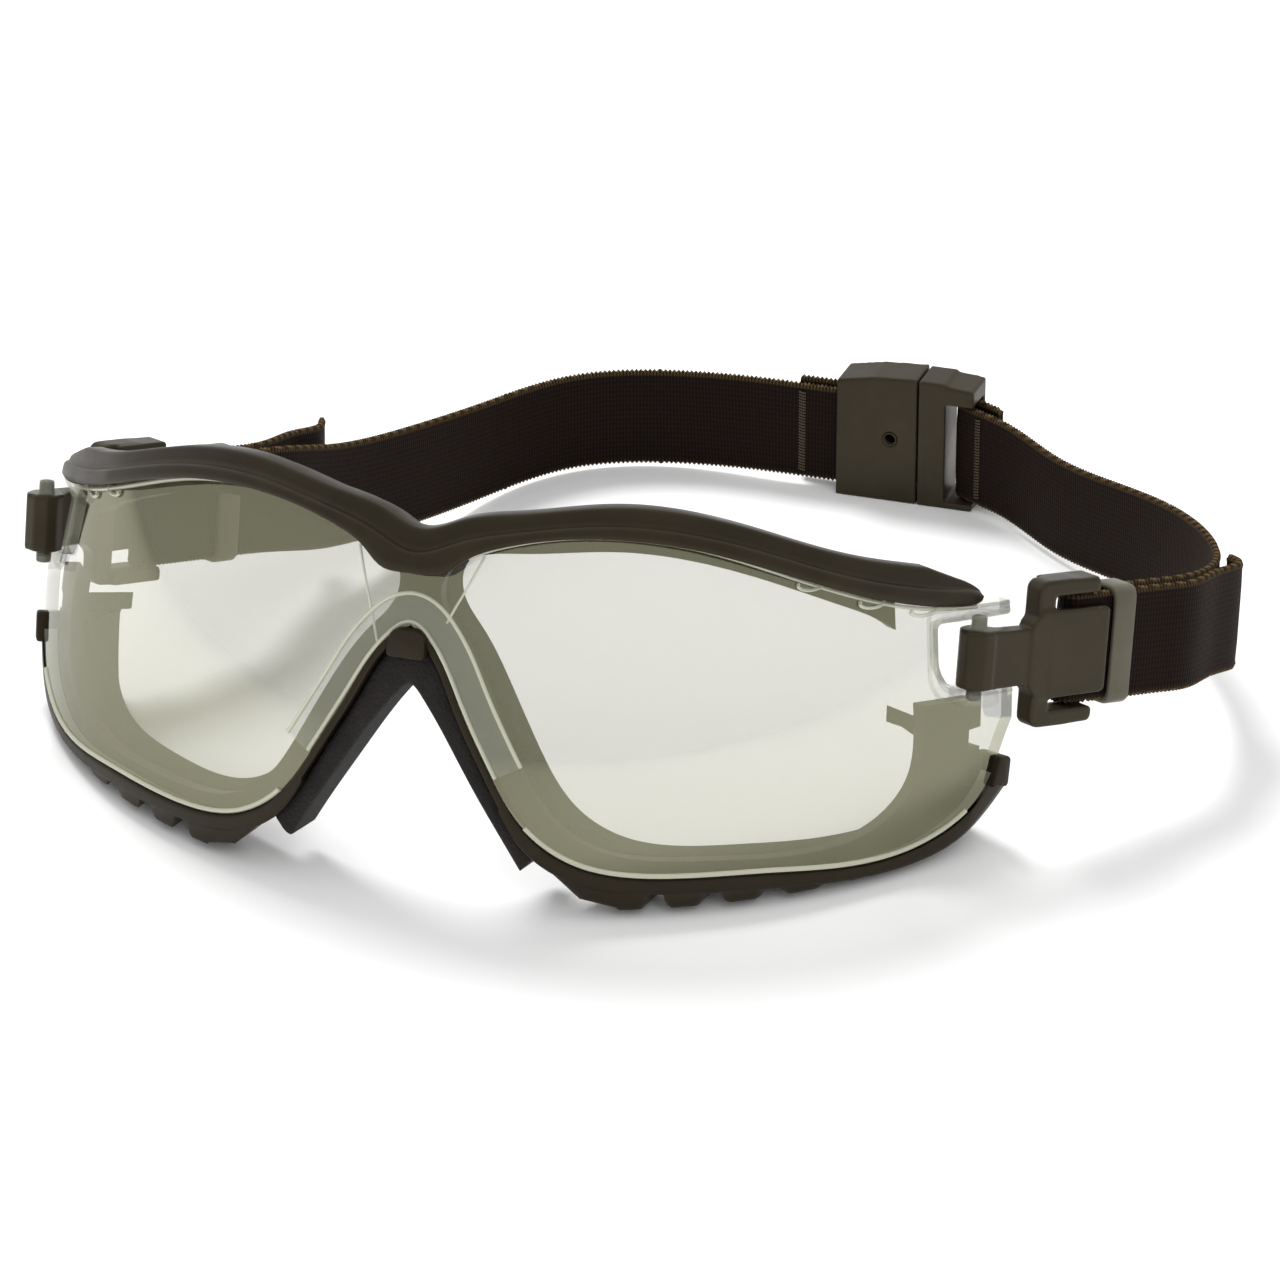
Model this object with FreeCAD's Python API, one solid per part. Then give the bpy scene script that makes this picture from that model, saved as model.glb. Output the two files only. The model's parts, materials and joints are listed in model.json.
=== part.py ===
import FreeCAD, Part
import math
import os

# Protective goggles: a one-piece wraparound lens with a brow bar, a foam-lined
# carriage behind the lens, and an elastic head strap on two hinged clips with a
# side-release buckle at the back. All sizes are in millimetres.
#
# The front is modelled in its own upright frame: X across the face, Y to the
# rear, Z up, with the bridge of the nose at x = 0. It is then tilted back to the
# angle at which the goggles stand on a table.

# ---------------------------------------------------------------- dimensions
TILT = 12.0             # degrees that the front leans back when it stands
FLOOR = -1.0            # height of the table in the tilted frame

LENS_R = 92.14          # horizontal radius of the lens' outer face
LENS_RV = 136.0         # vertical radius of the lens' outer face
LENS_Z = 23.1           # height at which the lens is widest
LENS_FRONT = 0.58       # y of the lens' outer face at the nose
LENS_T = 2.2            # lens thickness
LENS_HALF_ANGLE = 65.5  # half of the angle that the lens wraps

SOCKET_ANGLE = 55.2     # where the clip socket starts, from straight ahead
HINGE_ANGLE = 58.6      # where the hinge axis stands
HINGE_R = 93.6          # distance of the hinge axis from the lens' centre
HINGE_Z = 42.5          # mid height of the hinge
SOCKET_H = 10.2         # height of the socket opening
EAR_T = 2.2             # thickness of a socket ear
EAR_R = 4.0             # radius of a socket ear
PEG_R = 1.25            # hinge peg radius
PEG_PLAY = 0.05         # radial play of the peg in the ear

GAP = 0.3               # clearance between neighbouring curved parts
CARRIAGE_T = 2.6        # thickness of the carriage wall behind the lens
FOAM_T = 7.5            # thickness of the face foam
FOAM_HALF_ANGLE = 64.0  # half of the angle that the face foam wraps
FOAM_EYE_X = 69.5       # outer side of the foam's opening, from the bridge
TEMPLE_ANGLE = 56.0     # beyond this angle the foam stays below the clip's head
RAIL_DEPTH = 9.0        # depth of the bottom rail, front to rear
NOSE_WALL = 1.2         # thickness of the carriage wall over the nose
TOOTH_W = 4.6           # width of a rail tooth
TOOTH_X = [44.0, 52.0, 60.0, 67.6]
TOOTH_ROOT = 8.1        # height at which the teeth end inside the rail
WIDE_TOOTH = (30.0, 38.0)
FOOT = -2.0             # level below every tooth, cut off at the table

CLIP_RIGHT = 55.0       # heading of the right clip, from +X towards +Y
CLIP_LEFT = 59.0        # heading of the left clip, from +X towards +Y
CLIP_H = 9.6            # height of the barrel and arm
CLIP_BAR = 19.5         # distance of the clip's strap bar from the hinge axis
CLIP_END = 24.5         # length of the clip from the hinge axis
CLIP_HEAD_H = 24.0      # height of the clip's head
CLIP_HEAD = 9.8         # start of the clip's head

STRAP_W = 18.0          # width of the elastic webbing
STRAP_T = 1.4           # thickness of the elastic webbing
BAR_R = 0.8             # radius of every strap bar
LOOP_R = 1.0            # inner radius of the webbing where it turns round a bar
LEG = 42.0              # straight webbing, measured from the hinge axis

KEEPER_L = 3.6          # length of a keeper along the strap
KEEPER_WALL = 1.1       # wall of a keeper
KEEPER_RIGHT_AT = 25.8  # near end of the right keeper, from the hinge axis
KEEPER_LEFT_AT = 32.6   # near end of the left keeper, from the hinge axis

BUCKLE_X = 17.5         # left end of the buckle
BUCKLE_Y = 180.3        # mid depth of the buckle
BUCKLE_H = 24.0         # height of the buckle
BUCKLE_D = 8.0          # depth of the buckle
HOUSING_L = 14.9        # length of the housing
TONGUE_L = 10.4         # length of the tongue outside the housing
SEWN_LEFT = 13.0        # webbing folded back beyond the housing's bar
SEWN_RIGHT = 9.0        # webbing folded back beyond the tongue's bar
STRAP_MID = 10.6        # height of the webbing's middle at the buckle, above the table
TONGUE_HEADING = -30.0  # heading of the webbing as it leaves the tongue

AXIS_Y = LENS_FRONT + LENS_R
UP = FreeCAD.Vector(0, 0, 1)
THROUGH = (-4.0, 80.0)  # front to rear, through the whole front
HINGE_ROOM = SOCKET_H / 2 + EAR_T + 1.0  # half height that stays free at the hinge


def vec(x, y, z):
    return FreeCAD.Vector(x, y, z)


# ------------------------------------------------------------ shared shapes
def face_profile(r_out, r_in, z_low, z_high):
    """Radial section of a wall between two faces that follow the lens."""
    corners = []
    for radius_offset, heights in ((r_out, (z_low, z_high)), (r_in, (z_high, z_low))):
        bulge = LENS_RV + radius_offset
        points = []
        for step in range(7):
            z = heights[0] + (heights[1] - heights[0]) * step / 6
            reach = LENS_R - LENS_RV + math.sqrt(bulge ** 2 - (z - LENS_Z) ** 2)
            points.append(vec(0, AXIS_Y - reach, z))
        corners.append(points)
    edges = []
    for points, following in (corners, corners[::-1]):
        curve = Part.BSplineCurve()
        curve.interpolate(points)
        edges.append(curve.toShape())
        edges.append(Part.makeLine(points[-1], following[0]))
    return Part.Face(Part.Wire(edges))


def wall(r_out, r_in, from_angle, to_angle, z_low=-6.0, z_high=72.0):
    """Curved wall parallel to the lens; offsets are from the lens' outer face."""
    centre = vec(0, AXIS_Y, 0)
    face = face_profile(r_out, r_in, z_low, z_high)
    face.rotate(centre, UP, from_angle)
    return face.revolve(centre, UP, to_angle - from_angle)


def mirrored(points):
    """Right-hand outline points joined to their mirror images."""
    left = [(-x, z) for x, z in reversed(points) if x > 0]
    return left + list(points)


def spline(points, y=0.0):
    curve = Part.BSplineCurve()
    curve.interpolate([vec(x, y, z) for x, z in points])
    return curve.toShape()


def prism(edges, y_from=-12.0, y_to=100.0):
    """Solid of an outline in the XZ plane, pulled along Y."""
    face = Part.Face(Part.Wire(edges))
    face.translate(vec(0, y_from, 0))
    return face.extrude(vec(0, y_to - y_from, 0))


def band(upper, lower):
    """Prism between an upper and a lower edge that both run left to right."""
    top = spline(upper)
    bottom = spline(lower)
    right = Part.makeLine(vec(upper[-1][0], 0, upper[-1][1]), vec(lower[-1][0], 0, lower[-1][1]))
    left = Part.makeLine(vec(lower[0][0], 0, lower[0][1]), vec(upper[0][0], 0, upper[0][1]))
    return prism([top, right, bottom, left])


def loop_prism(points):
    """Prism of a closed smooth outline."""
    curve = Part.BSplineCurve()
    curve.interpolate(Points=[vec(x, 0, z) for x, z in points], PeriodicFlag=True)
    return prism([curve.toShape()])


def box(x0, x1, y0, y1, z0, z1):
    return Part.makeBox(x1 - x0, y1 - y0, z1 - z0, vec(x0, y0, z0))


def one_solid(shape):
    """The largest solid of a result, without seams between its faces."""
    return max(shape.removeSplitter().Solids, key=lambda item: item.Volume)


def mirror_x(shape):
    return shape.mirror(vec(0, 0, 0), vec(1, 0, 0))


def both_halves(half):
    """Joins a right half, cut at x = 0, to its mirror image."""
    right = max(half.Solids, key=lambda item: item.Volume)
    return right.fuse(mirror_x(right)).Solids[0]


def tilted(shape):
    """Moves a shape from the front's upright frame to the standing frame."""
    result = shape.copy()
    result.rotate(vec(0, 0, 0), vec(1, 0, 0), -TILT)
    return result


# ------------------------------------------------------------------ outlines
# Outer edge of the lens in the XZ plane, right half.
LENS_LOWER = [(0, 45.2), (3.3, 43.0), (8.6, 34.5), (14.8, 23.3), (20.0, 15.6), (28.5, 9.8),
              (40.0, 8.4), (56.8, 9.5), (73.1, 11.6), (80.0, 17.3), (82.9, 27.0), (85.5, 40.0)]
LENS_UPPER = [(0, 55.6), (5.4, 56.6), (13.0, 59.4), (31.0, 62.0), (48.0, 59.6), (64.0, 53.4),
              (75.5, 50.2), (85.5, 49.8)]
# Opening of the carriage in front of the right eye.
EYE_OPENING = [(24.5, 16.4), (31.5, 11.9), (48.0, 10.8), (61.0, 11.6), (70.0, 15.0), (74.5, 21.5),
               (75.0, 30.0), (74.0, 38.0), (71.0, 45.6), (62.0, 51.3), (48.0, 56.4), (31.0, 58.8),
               (16.0, 57.4), (7.0, 55.6), (3.9, 52.6), (4.0, 48.4), (7.6, 43.6), (12.8, 36.0),
               (19.0, 24.5)]
EYE_CENTRE = (44.0, 35.0)
# Underside of the bottom rail, right half, without its teeth.
RAIL_LOWER = [(16.5, 17.4), (20.0, 12.0), (28.5, 6.7), (40.0, 5.6), (56.8, 6.7), (70.0, 8.0),
              (78.0, 11.3), (84.0, 20.6)]
RAIL_UPPER = [(16.5, 20.2), (20.0, 15.3), (28.5, 9.5), (40.0, 8.1), (56.8, 9.2), (73.1, 11.3),
              (80.3, 17.2), (82.6, 24.0)]
# Top of the brow bar, right half, its lower lip, the ledge on the lip, and the top
# of the shelf behind the lens.
BROW_TOP = [(0, 60.2), (6.4, 62.3), (14.8, 64.0), (30.4, 66.2), (47.9, 64.0), (64.2, 58.5),
            (75.6, 55.1), (81.0, 52.2)]
BROW_LIP = [(0, 53.7), (4.6, 54.0), (8.0, 56.6), (13.0, 59.0), (20.0, 60.8), (29.0, 61.7),
            (42.0, 60.5), (50.0, 58.2), (57.0, 55.6), (65.0, 52.6), (72.0, 50.6), (81.0, 49.8)]
BROW_LEDGE = [(0, 57.0), (6.4, 59.2), (14.8, 61.6), (30.4, 63.8), (47.9, 61.4), (64.2, 55.6),
              (75.6, 52.6), (81.0, 51.2)]
BROW_SHELF = [(0, 58.6), (6.4, 60.7), (14.8, 62.4), (30.4, 64.6), (47.9, 62.4), (64.2, 56.9),
              (75.6, 53.5), (81.0, 50.9)]
# The V of the nose foam: the notch it leaves open, and its glued outer edge.
NOSE_NOTCH = [(0, 34.6), (3.0, 32.6), (9.5, 20.5), (16.5, 7.2)]
NOSE_SEAT = [(0, 43.6), (2.9, 41.8), (7.8, 33.6), (14.0, 22.4), (19.0, 14.6), (22.4, 11.2)]


def lens_prism():
    lower = mirrored(LENS_LOWER)
    upper = mirrored(LENS_UPPER)
    return band(upper, lower)


def hinge_point(side):
    """Middle of the hinge axis; side is +1 on the right and -1 on the left."""
    angle = math.radians(HINGE_ANGLE)
    return vec(side * HINGE_R * math.sin(angle), AXIS_Y - HINGE_R * math.cos(angle), HINGE_Z)


def clip_relief():
    """Room that the head of the turning right clip needs behind the hinge."""
    hinge = hinge_point(1)
    height = CLIP_HEAD_H + 1.4
    room = Part.makeCylinder(30, height, vec(hinge.x, hinge.y, HINGE_Z - height / 2))
    room = room.cut(Part.makeCylinder(CLIP_HEAD - GAP, height, vec(hinge.x, hinge.y, HINGE_Z - height / 2)))
    return room.common(wall(8, -8, HINGE_ANGLE, 75.0, 20, 60))


# --------------------------------------------------------------------- parts
def make_lens():
    half = wall(0, -LENS_T, 0, LENS_HALF_ANGLE).common(lens_prism())
    hinge = hinge_point(1)
    low = HINGE_Z - SOCKET_H / 2
    high = HINGE_Z + SOCKET_H / 2
    ears = [Part.makeCylinder(EAR_R, EAR_T, vec(hinge.x, hinge.y, z)) for z in (high, low - EAR_T)]
    hole = Part.makeCylinder(PEG_R + PEG_PLAY, 30, vec(hinge.x, hinge.y, HINGE_Z - 15))
    half = half.cut(wall(6, -8, SOCKET_ANGLE, 70.0, low, high)).cut(clip_relief())
    return both_halves(half.fuse(ears).cut(hole))


def make_brow_bar():
    ridge = band(mirrored(BROW_TOP), mirrored(BROW_LIP))
    lip = band(mirrored(BROW_LEDGE), mirrored(BROW_LIP))
    thin = wall(1.6, -LENS_T, 0, 61.5).common(ridge)
    thick = wall(3.8, -LENS_T, 0, 61.5).common(lip)
    shelf = wall(-LENS_T + 0.4, -7.0, 0, 51.0).common(band(mirrored(BROW_SHELF), mirrored(BROW_LIP)))
    under_lens = wall(0.05, -12.0, -5, 70).common(lens_prism())
    hinge = hinge_point(1)
    ear_room = Part.makeCylinder(EAR_R + GAP, 8, vec(hinge.x, hinge.y, 44.0))
    return both_halves(thin.fuse([thick, shelf]).cut(under_lens).cut(ear_room))


def make_carriage():
    front = -LENS_T - 0.1
    outline = lens_prism()
    lens_room = wall(0.05, -LENS_T - 0.05, -5, LENS_HALF_ANGLE + 0.1).common(outline)
    backing = wall(front, front - CARRIAGE_T, 0, 62.5).common(outline)
    rail_wall = wall(0.3, -RAIL_DEPTH, 0, LENS_HALF_ANGLE)
    rail = rail_wall.common(band(RAIL_UPPER, RAIL_LOWER))
    wide = box(*WIDE_TOOTH, *THROUGH, FOOT, TOOTH_ROOT)
    teeth = [box(x - TOOTH_W / 2, x + TOOTH_W / 2, *THROUGH, FOOT, TOOTH_ROOT) for x in TOOTH_X]
    teeth = rail_wall.common(wide.fuse(teeth))
    nose = band(mirrored([(x, z + NOSE_WALL) for x, z in NOSE_SEAT]), mirrored(NOSE_SEAT))
    nose = wall(0.3, -RAIL_DEPTH, 0, 30).common(nose)
    tab = wall(1.5, -3.0, 0, 10, 40.2, 44.8).common(box(0, 3.3, -5, 20, 40.2, 44.8))
    hook = wall(1.3, -4.6, 61.5, 66.4, 21.0, 25.4)
    opening = loop_prism(EYE_OPENING).common(wall(front + 0.5, -30, -5, 70))
    hinge_room = wall(6, -14, 51.0, 70.0, HINGE_Z - HINGE_ROOM, 60)
    half = backing.fuse([rail, teeth, nose, tab]).cut(opening).cut(hinge_room)
    return both_halves(half.fuse(hook).cut(lens_room))


def make_face_foam(side):
    """Soft pad on one half of the carriage, open at the eye and the temple."""
    front = -LENS_T - 0.1 - CARRIAGE_T - 0.1
    pad = wall(front, front - FOAM_T, 1.0, FOAM_HALF_ANGLE)
    outline = [(EYE_CENTRE[0] + (x - EYE_CENTRE[0]) * 1.17, EYE_CENTRE[1] + (z - EYE_CENTRE[1]) * 1.2)
               for x, z in EYE_OPENING]
    opening = loop_prism(EYE_OPENING).common(box(0, FOAM_EYE_X, *THROUGH, 0, 70))
    pad = pad.common(loop_prism(outline)).common(lens_prism()).cut(opening)
    rail = band(RAIL_UPPER, RAIL_LOWER)
    pad = pad.cut(wall(2, -RAIL_DEPTH - GAP, -5, 70).common(rail))
    pad = pad.cut(wall(6, -20, 49.0, 70.0, HINGE_Z - HINGE_ROOM, HINGE_Z + HINGE_ROOM))
    pad = pad.cut(wall(6, -20, TEMPLE_ANGLE, 70.0, HINGE_Z - CLIP_HEAD_H / 2 - 1.5, 60))
    pad = pad.cut(prism_of_nose(NOSE_WALL + GAP))
    return one_solid(pad if side > 0 else mirror_x(pad))


def prism_of_nose(grow):
    upper = [(x, z + grow) for x, z in NOSE_SEAT]
    lower = NOSE_NOTCH + [(19.0, 5.0)]
    return band(mirrored(upper), mirrored([(x, z - grow) for x, z in lower]))


def make_nose_foam():
    upper = mirrored([(x, z - 0.05) for x, z in NOSE_SEAT])
    lower = mirrored(NOSE_NOTCH + [(18.6, 6.0)])
    return one_solid(wall(-1.4, -14.0, -30, 30).common(band(upper, lower)))


def clip_frame(shape, side):
    """Moves a shape from a clip's own frame, hinge at the origin, to its place."""
    result = shape.copy() if side > 0 else shape.mirror(vec(0, 0, 0), vec(0, 1, 0))
    result.rotate(vec(0, 0, 0), UP, CLIP_RIGHT if side > 0 else CLIP_LEFT)
    result.translate(hinge_point(side))
    return result


def make_clip(side):
    """Clip in its own frame: arm along +X, outer face towards -Y."""
    half = CLIP_H / 2
    head = CLIP_HEAD_H / 2
    rail = head - (STRAP_W / 2 + 0.5)
    body = Part.makeCylinder(3.1, CLIP_H, vec(0, 0, -half))
    pegs = Part.makeCylinder(PEG_R, CLIP_H + 2 * EAR_T, vec(0, 0, -half - EAR_T))
    arm = box(-2.2, CLIP_HEAD + 1, -2.9, 0.4, -half, half)
    front_bar = box(CLIP_HEAD, CLIP_HEAD + 3.6, -2.9, 1.2, -head, head)
    plate = box(CLIP_HEAD + 3, CLIP_END, -3.2, -1.9, -7.2, 7.2)
    rails = [box(CLIP_HEAD + 3, CLIP_BAR + 3.0, -2.2, 2.4, z, z + rail) for z in (-head, head - rail)]
    bar = Part.makeCylinder(BAR_R, 2 * head - rail, vec(CLIP_BAR, clip_bar_y(), -head + rail / 2))
    body = body.fuse([pegs, arm, front_bar, plate, bar] + rails)
    return one_solid(clip_frame(body, side))


def clip_bar_y():
    """Offset of the clip's strap bar: the doubled webbing clears the plate."""
    return LOOP_R + STRAP_T - 1.6


def loop_of_webbing(leg_outer, leg_inner):
    """Webbing turned round a bar at the origin, with two legs along +X."""
    outer_r = LOOP_R + STRAP_T
    half = STRAP_W / 2
    ring = Part.makeCylinder(outer_r, STRAP_W, vec(0, 0, -half))
    ring = ring.cut(Part.makeCylinder(LOOP_R, STRAP_W, vec(0, 0, -half)))
    ring = ring.cut(box(0, 10, -10, 10, -20, 20))
    outer = box(0, leg_outer, -outer_r, -LOOP_R, -half, half)
    inner = box(0, leg_inner, LOOP_R, outer_r, -half, half)
    return ring.fuse([outer, inner])


def webbing(points, start, end):
    """Free webbing through points (x, y, z, lean); start and end are directions."""
    curve = Part.BSplineCurve()
    path = [vec(x, y, z) for x, y, z, lean in points]
    curve.interpolate(Points=path, InitialTangent=start, FinalTangent=end, Scale=True)
    stations = [curve.parameter(p) for p in path]
    sections = []
    for half_step in range(2 * len(path) - 1):
        i = min(half_step // 2, len(path) - 2)
        share = half_step / 2 - i
        u = stations[i] + (stations[i + 1] - stations[i]) * share
        lean = math.radians(points[i][3] + (points[i + 1][3] - points[i][3]) * share)
        sections.append(webbing_section(curve.value(u), curve.tangent(u)[0], lean))
    return Part.makeLoft(sections, True, False)


def webbing_section(centre, tangent, lean):
    across = vec(0, math.sin(lean), math.cos(lean))
    across = (across - tangent * across.dot(tangent)).normalize()
    normal = tangent.cross(across).normalize()
    half_w = across * (STRAP_W / 2)
    half_t = normal * (STRAP_T / 2)
    return Part.makePolygon([centre - half_w - half_t, centre + half_w - half_t,
                             centre + half_w + half_t, centre - half_w + half_t,
                             centre - half_w - half_t])


def clip_leg_end(side, inner):
    """Where a straight leg of webbing behind a clip ends, and its direction."""
    offset = LOOP_R + STRAP_T / 2
    y = clip_bar_y() + (offset if inner else -offset)
    point = Part.Vertex(vec(LEG, y, 0))
    root = Part.Vertex(vec(0, y, 0))
    ends = []
    for vertex in (point, root):
        ends.append(tilted(clip_frame(vertex, side)).Point)
    return ends[0], (ends[0] - ends[1]).normalize()


def clip_loop(side):
    leg = LEG - CLIP_BAR
    loop = loop_of_webbing(leg, leg)
    loop.translate(vec(CLIP_BAR, clip_bar_y(), 0))
    return tilted(clip_frame(loop, side))


# The free webbing, from the clip's leg to the buckle: x, y, z of its middle and
# the lean of its edges, in the standing frame.
RIGHT_RUN = [(104.6, 99.0, 21.8, 10), (101.0, 119.0, 17.0, 7), (90.5, 137.5, 13.6, 4),
             (76.0, 152.0, 10.6, 0), (61.5, 163.0, 9.2, 0)]
LEFT_RUN = [(-51.5, 107.0, 17.8, 9), (-46.0, 131.0, 12.4, 5), (-40.0, 153.0, 9.2, 0),
            (-29.0, 171.0, 8.8, 0), (-12.0, 178.3, 8.9, 0)]
# The free tail of webbing beyond each keeper.
RIGHT_TAIL = [(107.6, 99.5, 22.4, 10), (106.6, 109.5, 19.4, 9), (109.6, 118.0, 16.8, 8)]
LEFT_TAIL = [(-57.5, 104.0, 20.8, 10), (-56.5, 112.0, 18.6, 9), (-58.6, 120.0, 16.4, 8)]


def buckle_bar(side):
    """Strap bar at the tongue's end (+1) or the housing's end (-1)."""
    x = BUCKLE_X + 1.7 if side < 0 else BUCKLE_X + HOUSING_L + TONGUE_L - 1.7
    return vec(x, BUCKLE_Y, STRAP_MID + FLOOR)


def at_buckle(shape, side):
    """Moves a shape from the frame of a buckle's bar, legs along +X, to its place."""
    result = shape.copy()
    result.rotate(vec(0, 0, 0), UP, TONGUE_HEADING if side > 0 else 180)
    result.translate(buckle_bar(side))
    return result


def make_strap(side):
    run = RIGHT_RUN if side > 0 else LEFT_RUN
    tail = RIGHT_TAIL if side > 0 else LEFT_TAIL
    leg = SEWN_RIGHT if side > 0 else SEWN_LEFT
    offset = -side * (LOOP_R + STRAP_T / 2)
    loop = at_buckle(loop_of_webbing(leg, leg - 3) if side > 0 else loop_of_webbing(leg - 3, leg), side)
    join = at_buckle(Part.Vertex(vec(leg, offset, 0)), side).Point
    before_join = at_buckle(Part.Vertex(vec(0, offset, 0)), side).Point
    start, start_way = clip_leg_end(side, True)
    points = [(start.x, start.y, start.z, TILT)] + run + [(join.x, join.y, join.z, 0)]
    free = webbing(points, start_way, (before_join - join).normalize())
    tail_start, tail_way = clip_leg_end(side, False)
    tail_points = [(tail_start.x, tail_start.y, tail_start.z, TILT)] + tail
    last, before = tail[-1], tail[-2]
    way_out = vec(last[0] - before[0], last[1] - before[1], last[2] - before[2]).normalize()
    free_tail = webbing(tail_points, tail_way, way_out)
    return clip_loop(side).fuse([free, free_tail, loop])


def make_seam(side):
    """Bar of stitching through both layers of the fold at the buckle."""
    leg = SEWN_RIGHT if side > 0 else SEWN_LEFT
    reach = LOOP_R + STRAP_T + 0.2
    stitches = box(leg - 5.1, leg - 3.9, -reach, reach, -7.5, 7.5)
    return one_solid(at_buckle(stitches, side))


def make_keeper(side):
    reach = LOOP_R + STRAP_T + 0.25
    half = STRAP_W / 2 + 0.4
    outer = box(0, KEEPER_L, -reach - KEEPER_WALL, reach + KEEPER_WALL,
                -half - KEEPER_WALL, half + KEEPER_WALL)
    long_edges = [edge for edge in outer.Edges if abs(edge.tangentAt(0).x) > 0.9]
    outer = outer.makeFillet(1.0, long_edges)
    ring = outer.cut(box(-1, KEEPER_L + 1, -reach, reach, -half, half))
    near_end = KEEPER_RIGHT_AT if side > 0 else KEEPER_LEFT_AT
    ring.translate(vec(near_end, clip_bar_y(), 0))
    return one_solid(tilted(clip_frame(ring, side)))


def buckle_block(x0, x1):
    """Block of the buckle's rounded outline, standing on the table."""
    depth = BUCKLE_D / 2
    middle = BUCKLE_X + HOUSING_L
    shape = box(x0, x1, BUCKLE_Y - depth, BUCKLE_Y + depth, FLOOR, FLOOR + BUCKLE_H)
    crown = Part.makeCylinder(60, 60, vec(middle, BUCKLE_Y - 30, FLOOR + BUCKLE_H - 60), vec(0, 1, 0))
    return shape.common(crown)


def buckle_window(x0, x1, front):
    """Room for the folded webbing; front is its depth towards the front face."""
    half = STRAP_W / 2 + 0.3
    middle = FLOOR + STRAP_MID
    return box(x0, x1, BUCKLE_Y - front, BUCKLE_Y + 10, middle - half, middle + half)


def strap_bar(side):
    at = buckle_bar(side)
    return Part.makeCylinder(BAR_R, BUCKLE_H - 3.5, vec(at.x, at.y, FLOOR + 0.7))


def make_buckle_housing():
    split = BUCKLE_X + HOUSING_L
    middle = FLOOR + BUCKLE_H / 2
    body = buckle_block(BUCKLE_X, split)
    body = body.cut(buckle_window(BUCKLE_X - 1, BUCKLE_X + 5.2, 2.7)).fuse(strap_bar(-1))
    cavity = box(BUCKLE_X + 6.7, split + 1, BUCKLE_Y - 2.2, BUCKLE_Y + 2.2, middle - 9.0, middle + 9.0)
    hole = Part.makeCylinder(1.1, 10, vec(BUCKLE_X + 10, BUCKLE_Y - 9, middle), vec(0, 1, 0))
    return one_solid(body.cut(cavity).cut(hole))


def make_buckle_tongue():
    split = BUCKLE_X + HOUSING_L
    end = split + TONGUE_L
    middle = FLOOR + BUCKLE_H / 2
    body = buckle_block(split + 0.2, end)
    body = body.cut(buckle_window(end - 5.2, end + 1, 10)).fuse(strap_bar(1))
    prongs = []
    for z in (middle - 8.7, middle + 5.7):
        prongs.append(box(BUCKLE_X + 7.2, split + 1, BUCKLE_Y - 1.9, BUCKLE_Y + 1.9, z, z + 3.0))
    spring = box(BUCKLE_X + 7.8, split + 1, BUCKLE_Y - 1.0, BUCKLE_Y + 0.8, middle - 3.6, middle + 3.6)
    nub = Part.makeCylinder(1.0, 0.9, vec(BUCKLE_X + 10, BUCKLE_Y - 1.9, middle), vec(0, 1, 0))
    return one_solid(body.fuse(prongs + [spring, nub]))


# ------------------------------------------------------------------ assembly
def under_table(height):
    """Everything in the standing frame below this height over the table."""
    return box(-150, 150, -50, 150, FLOOR - 30, FLOOR + height)


def build():
    parts = {
        "lens": tilted(make_lens()),
        "brow_bar": tilted(make_brow_bar()),
        "carriage": tilted(make_carriage()).cut(under_table(0)),
        "face_foam_left": one_solid(tilted(make_face_foam(-1)).cut(under_table(GAP))),
        "face_foam_right": one_solid(tilted(make_face_foam(1)).cut(under_table(GAP))),
        "nose_foam": tilted(one_solid(make_nose_foam().cut(make_carriage()))),
        "buckle_housing": make_buckle_housing(),
        "buckle_tongue": make_buckle_tongue(),
    }
    for side, name in ((-1, "left"), (1, "right")):
        seam = make_seam(side)
        parts["clip_" + name] = tilted(make_clip(side))
        parts["keeper_" + name] = make_keeper(side)
        parts["strap_" + name] = one_solid(make_strap(side).cut(seam))
        parts["seam_" + name] = seam
    whole = Part.makeCompound(list(parts.values())).optimalBoundingBox(False)
    origin = vec(whole.Center.x, whole.Center.y, FLOOR)
    for shape in parts.values():
        shape.translate(origin * -1)
    return parts, origin


def report(parts, origin):
    print("origin in the standing frame", [round(value, 3) for value in origin])
    for name in sorted(parts):
        shape = parts[name]
        bounds = shape.optimalBoundingBox(False)
        print(name, shape.ShapeType, shape.isValid(), len(shape.Solids), round(shape.Volume, 1),
              [round(v, 2) for v in (bounds.XMin, bounds.XMax, bounds.YMin, bounds.YMax,
                                     bounds.ZMin, bounds.ZMax)])
    for side, name in ((-1, "left"), (1, "right")):
        centre = tilted(Part.Vertex(hinge_point(side))).Point - origin
        way = clip_leg_end(side, True)[1]
        print("hinge", name, [round(v, 3) for v in centre], "strap way", [round(v, 4) for v in way])


def main():
    os.makedirs("parts", exist_ok=True)
    parts, origin = build()
    for name, shape in parts.items():
        shape.exportStep("parts/" + name + ".step")
    report(parts, origin)


main()
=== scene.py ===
from collections import Counter
import json
import math
import bmesh
import bpy
import numpy as np
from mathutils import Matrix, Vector, geometry


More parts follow.
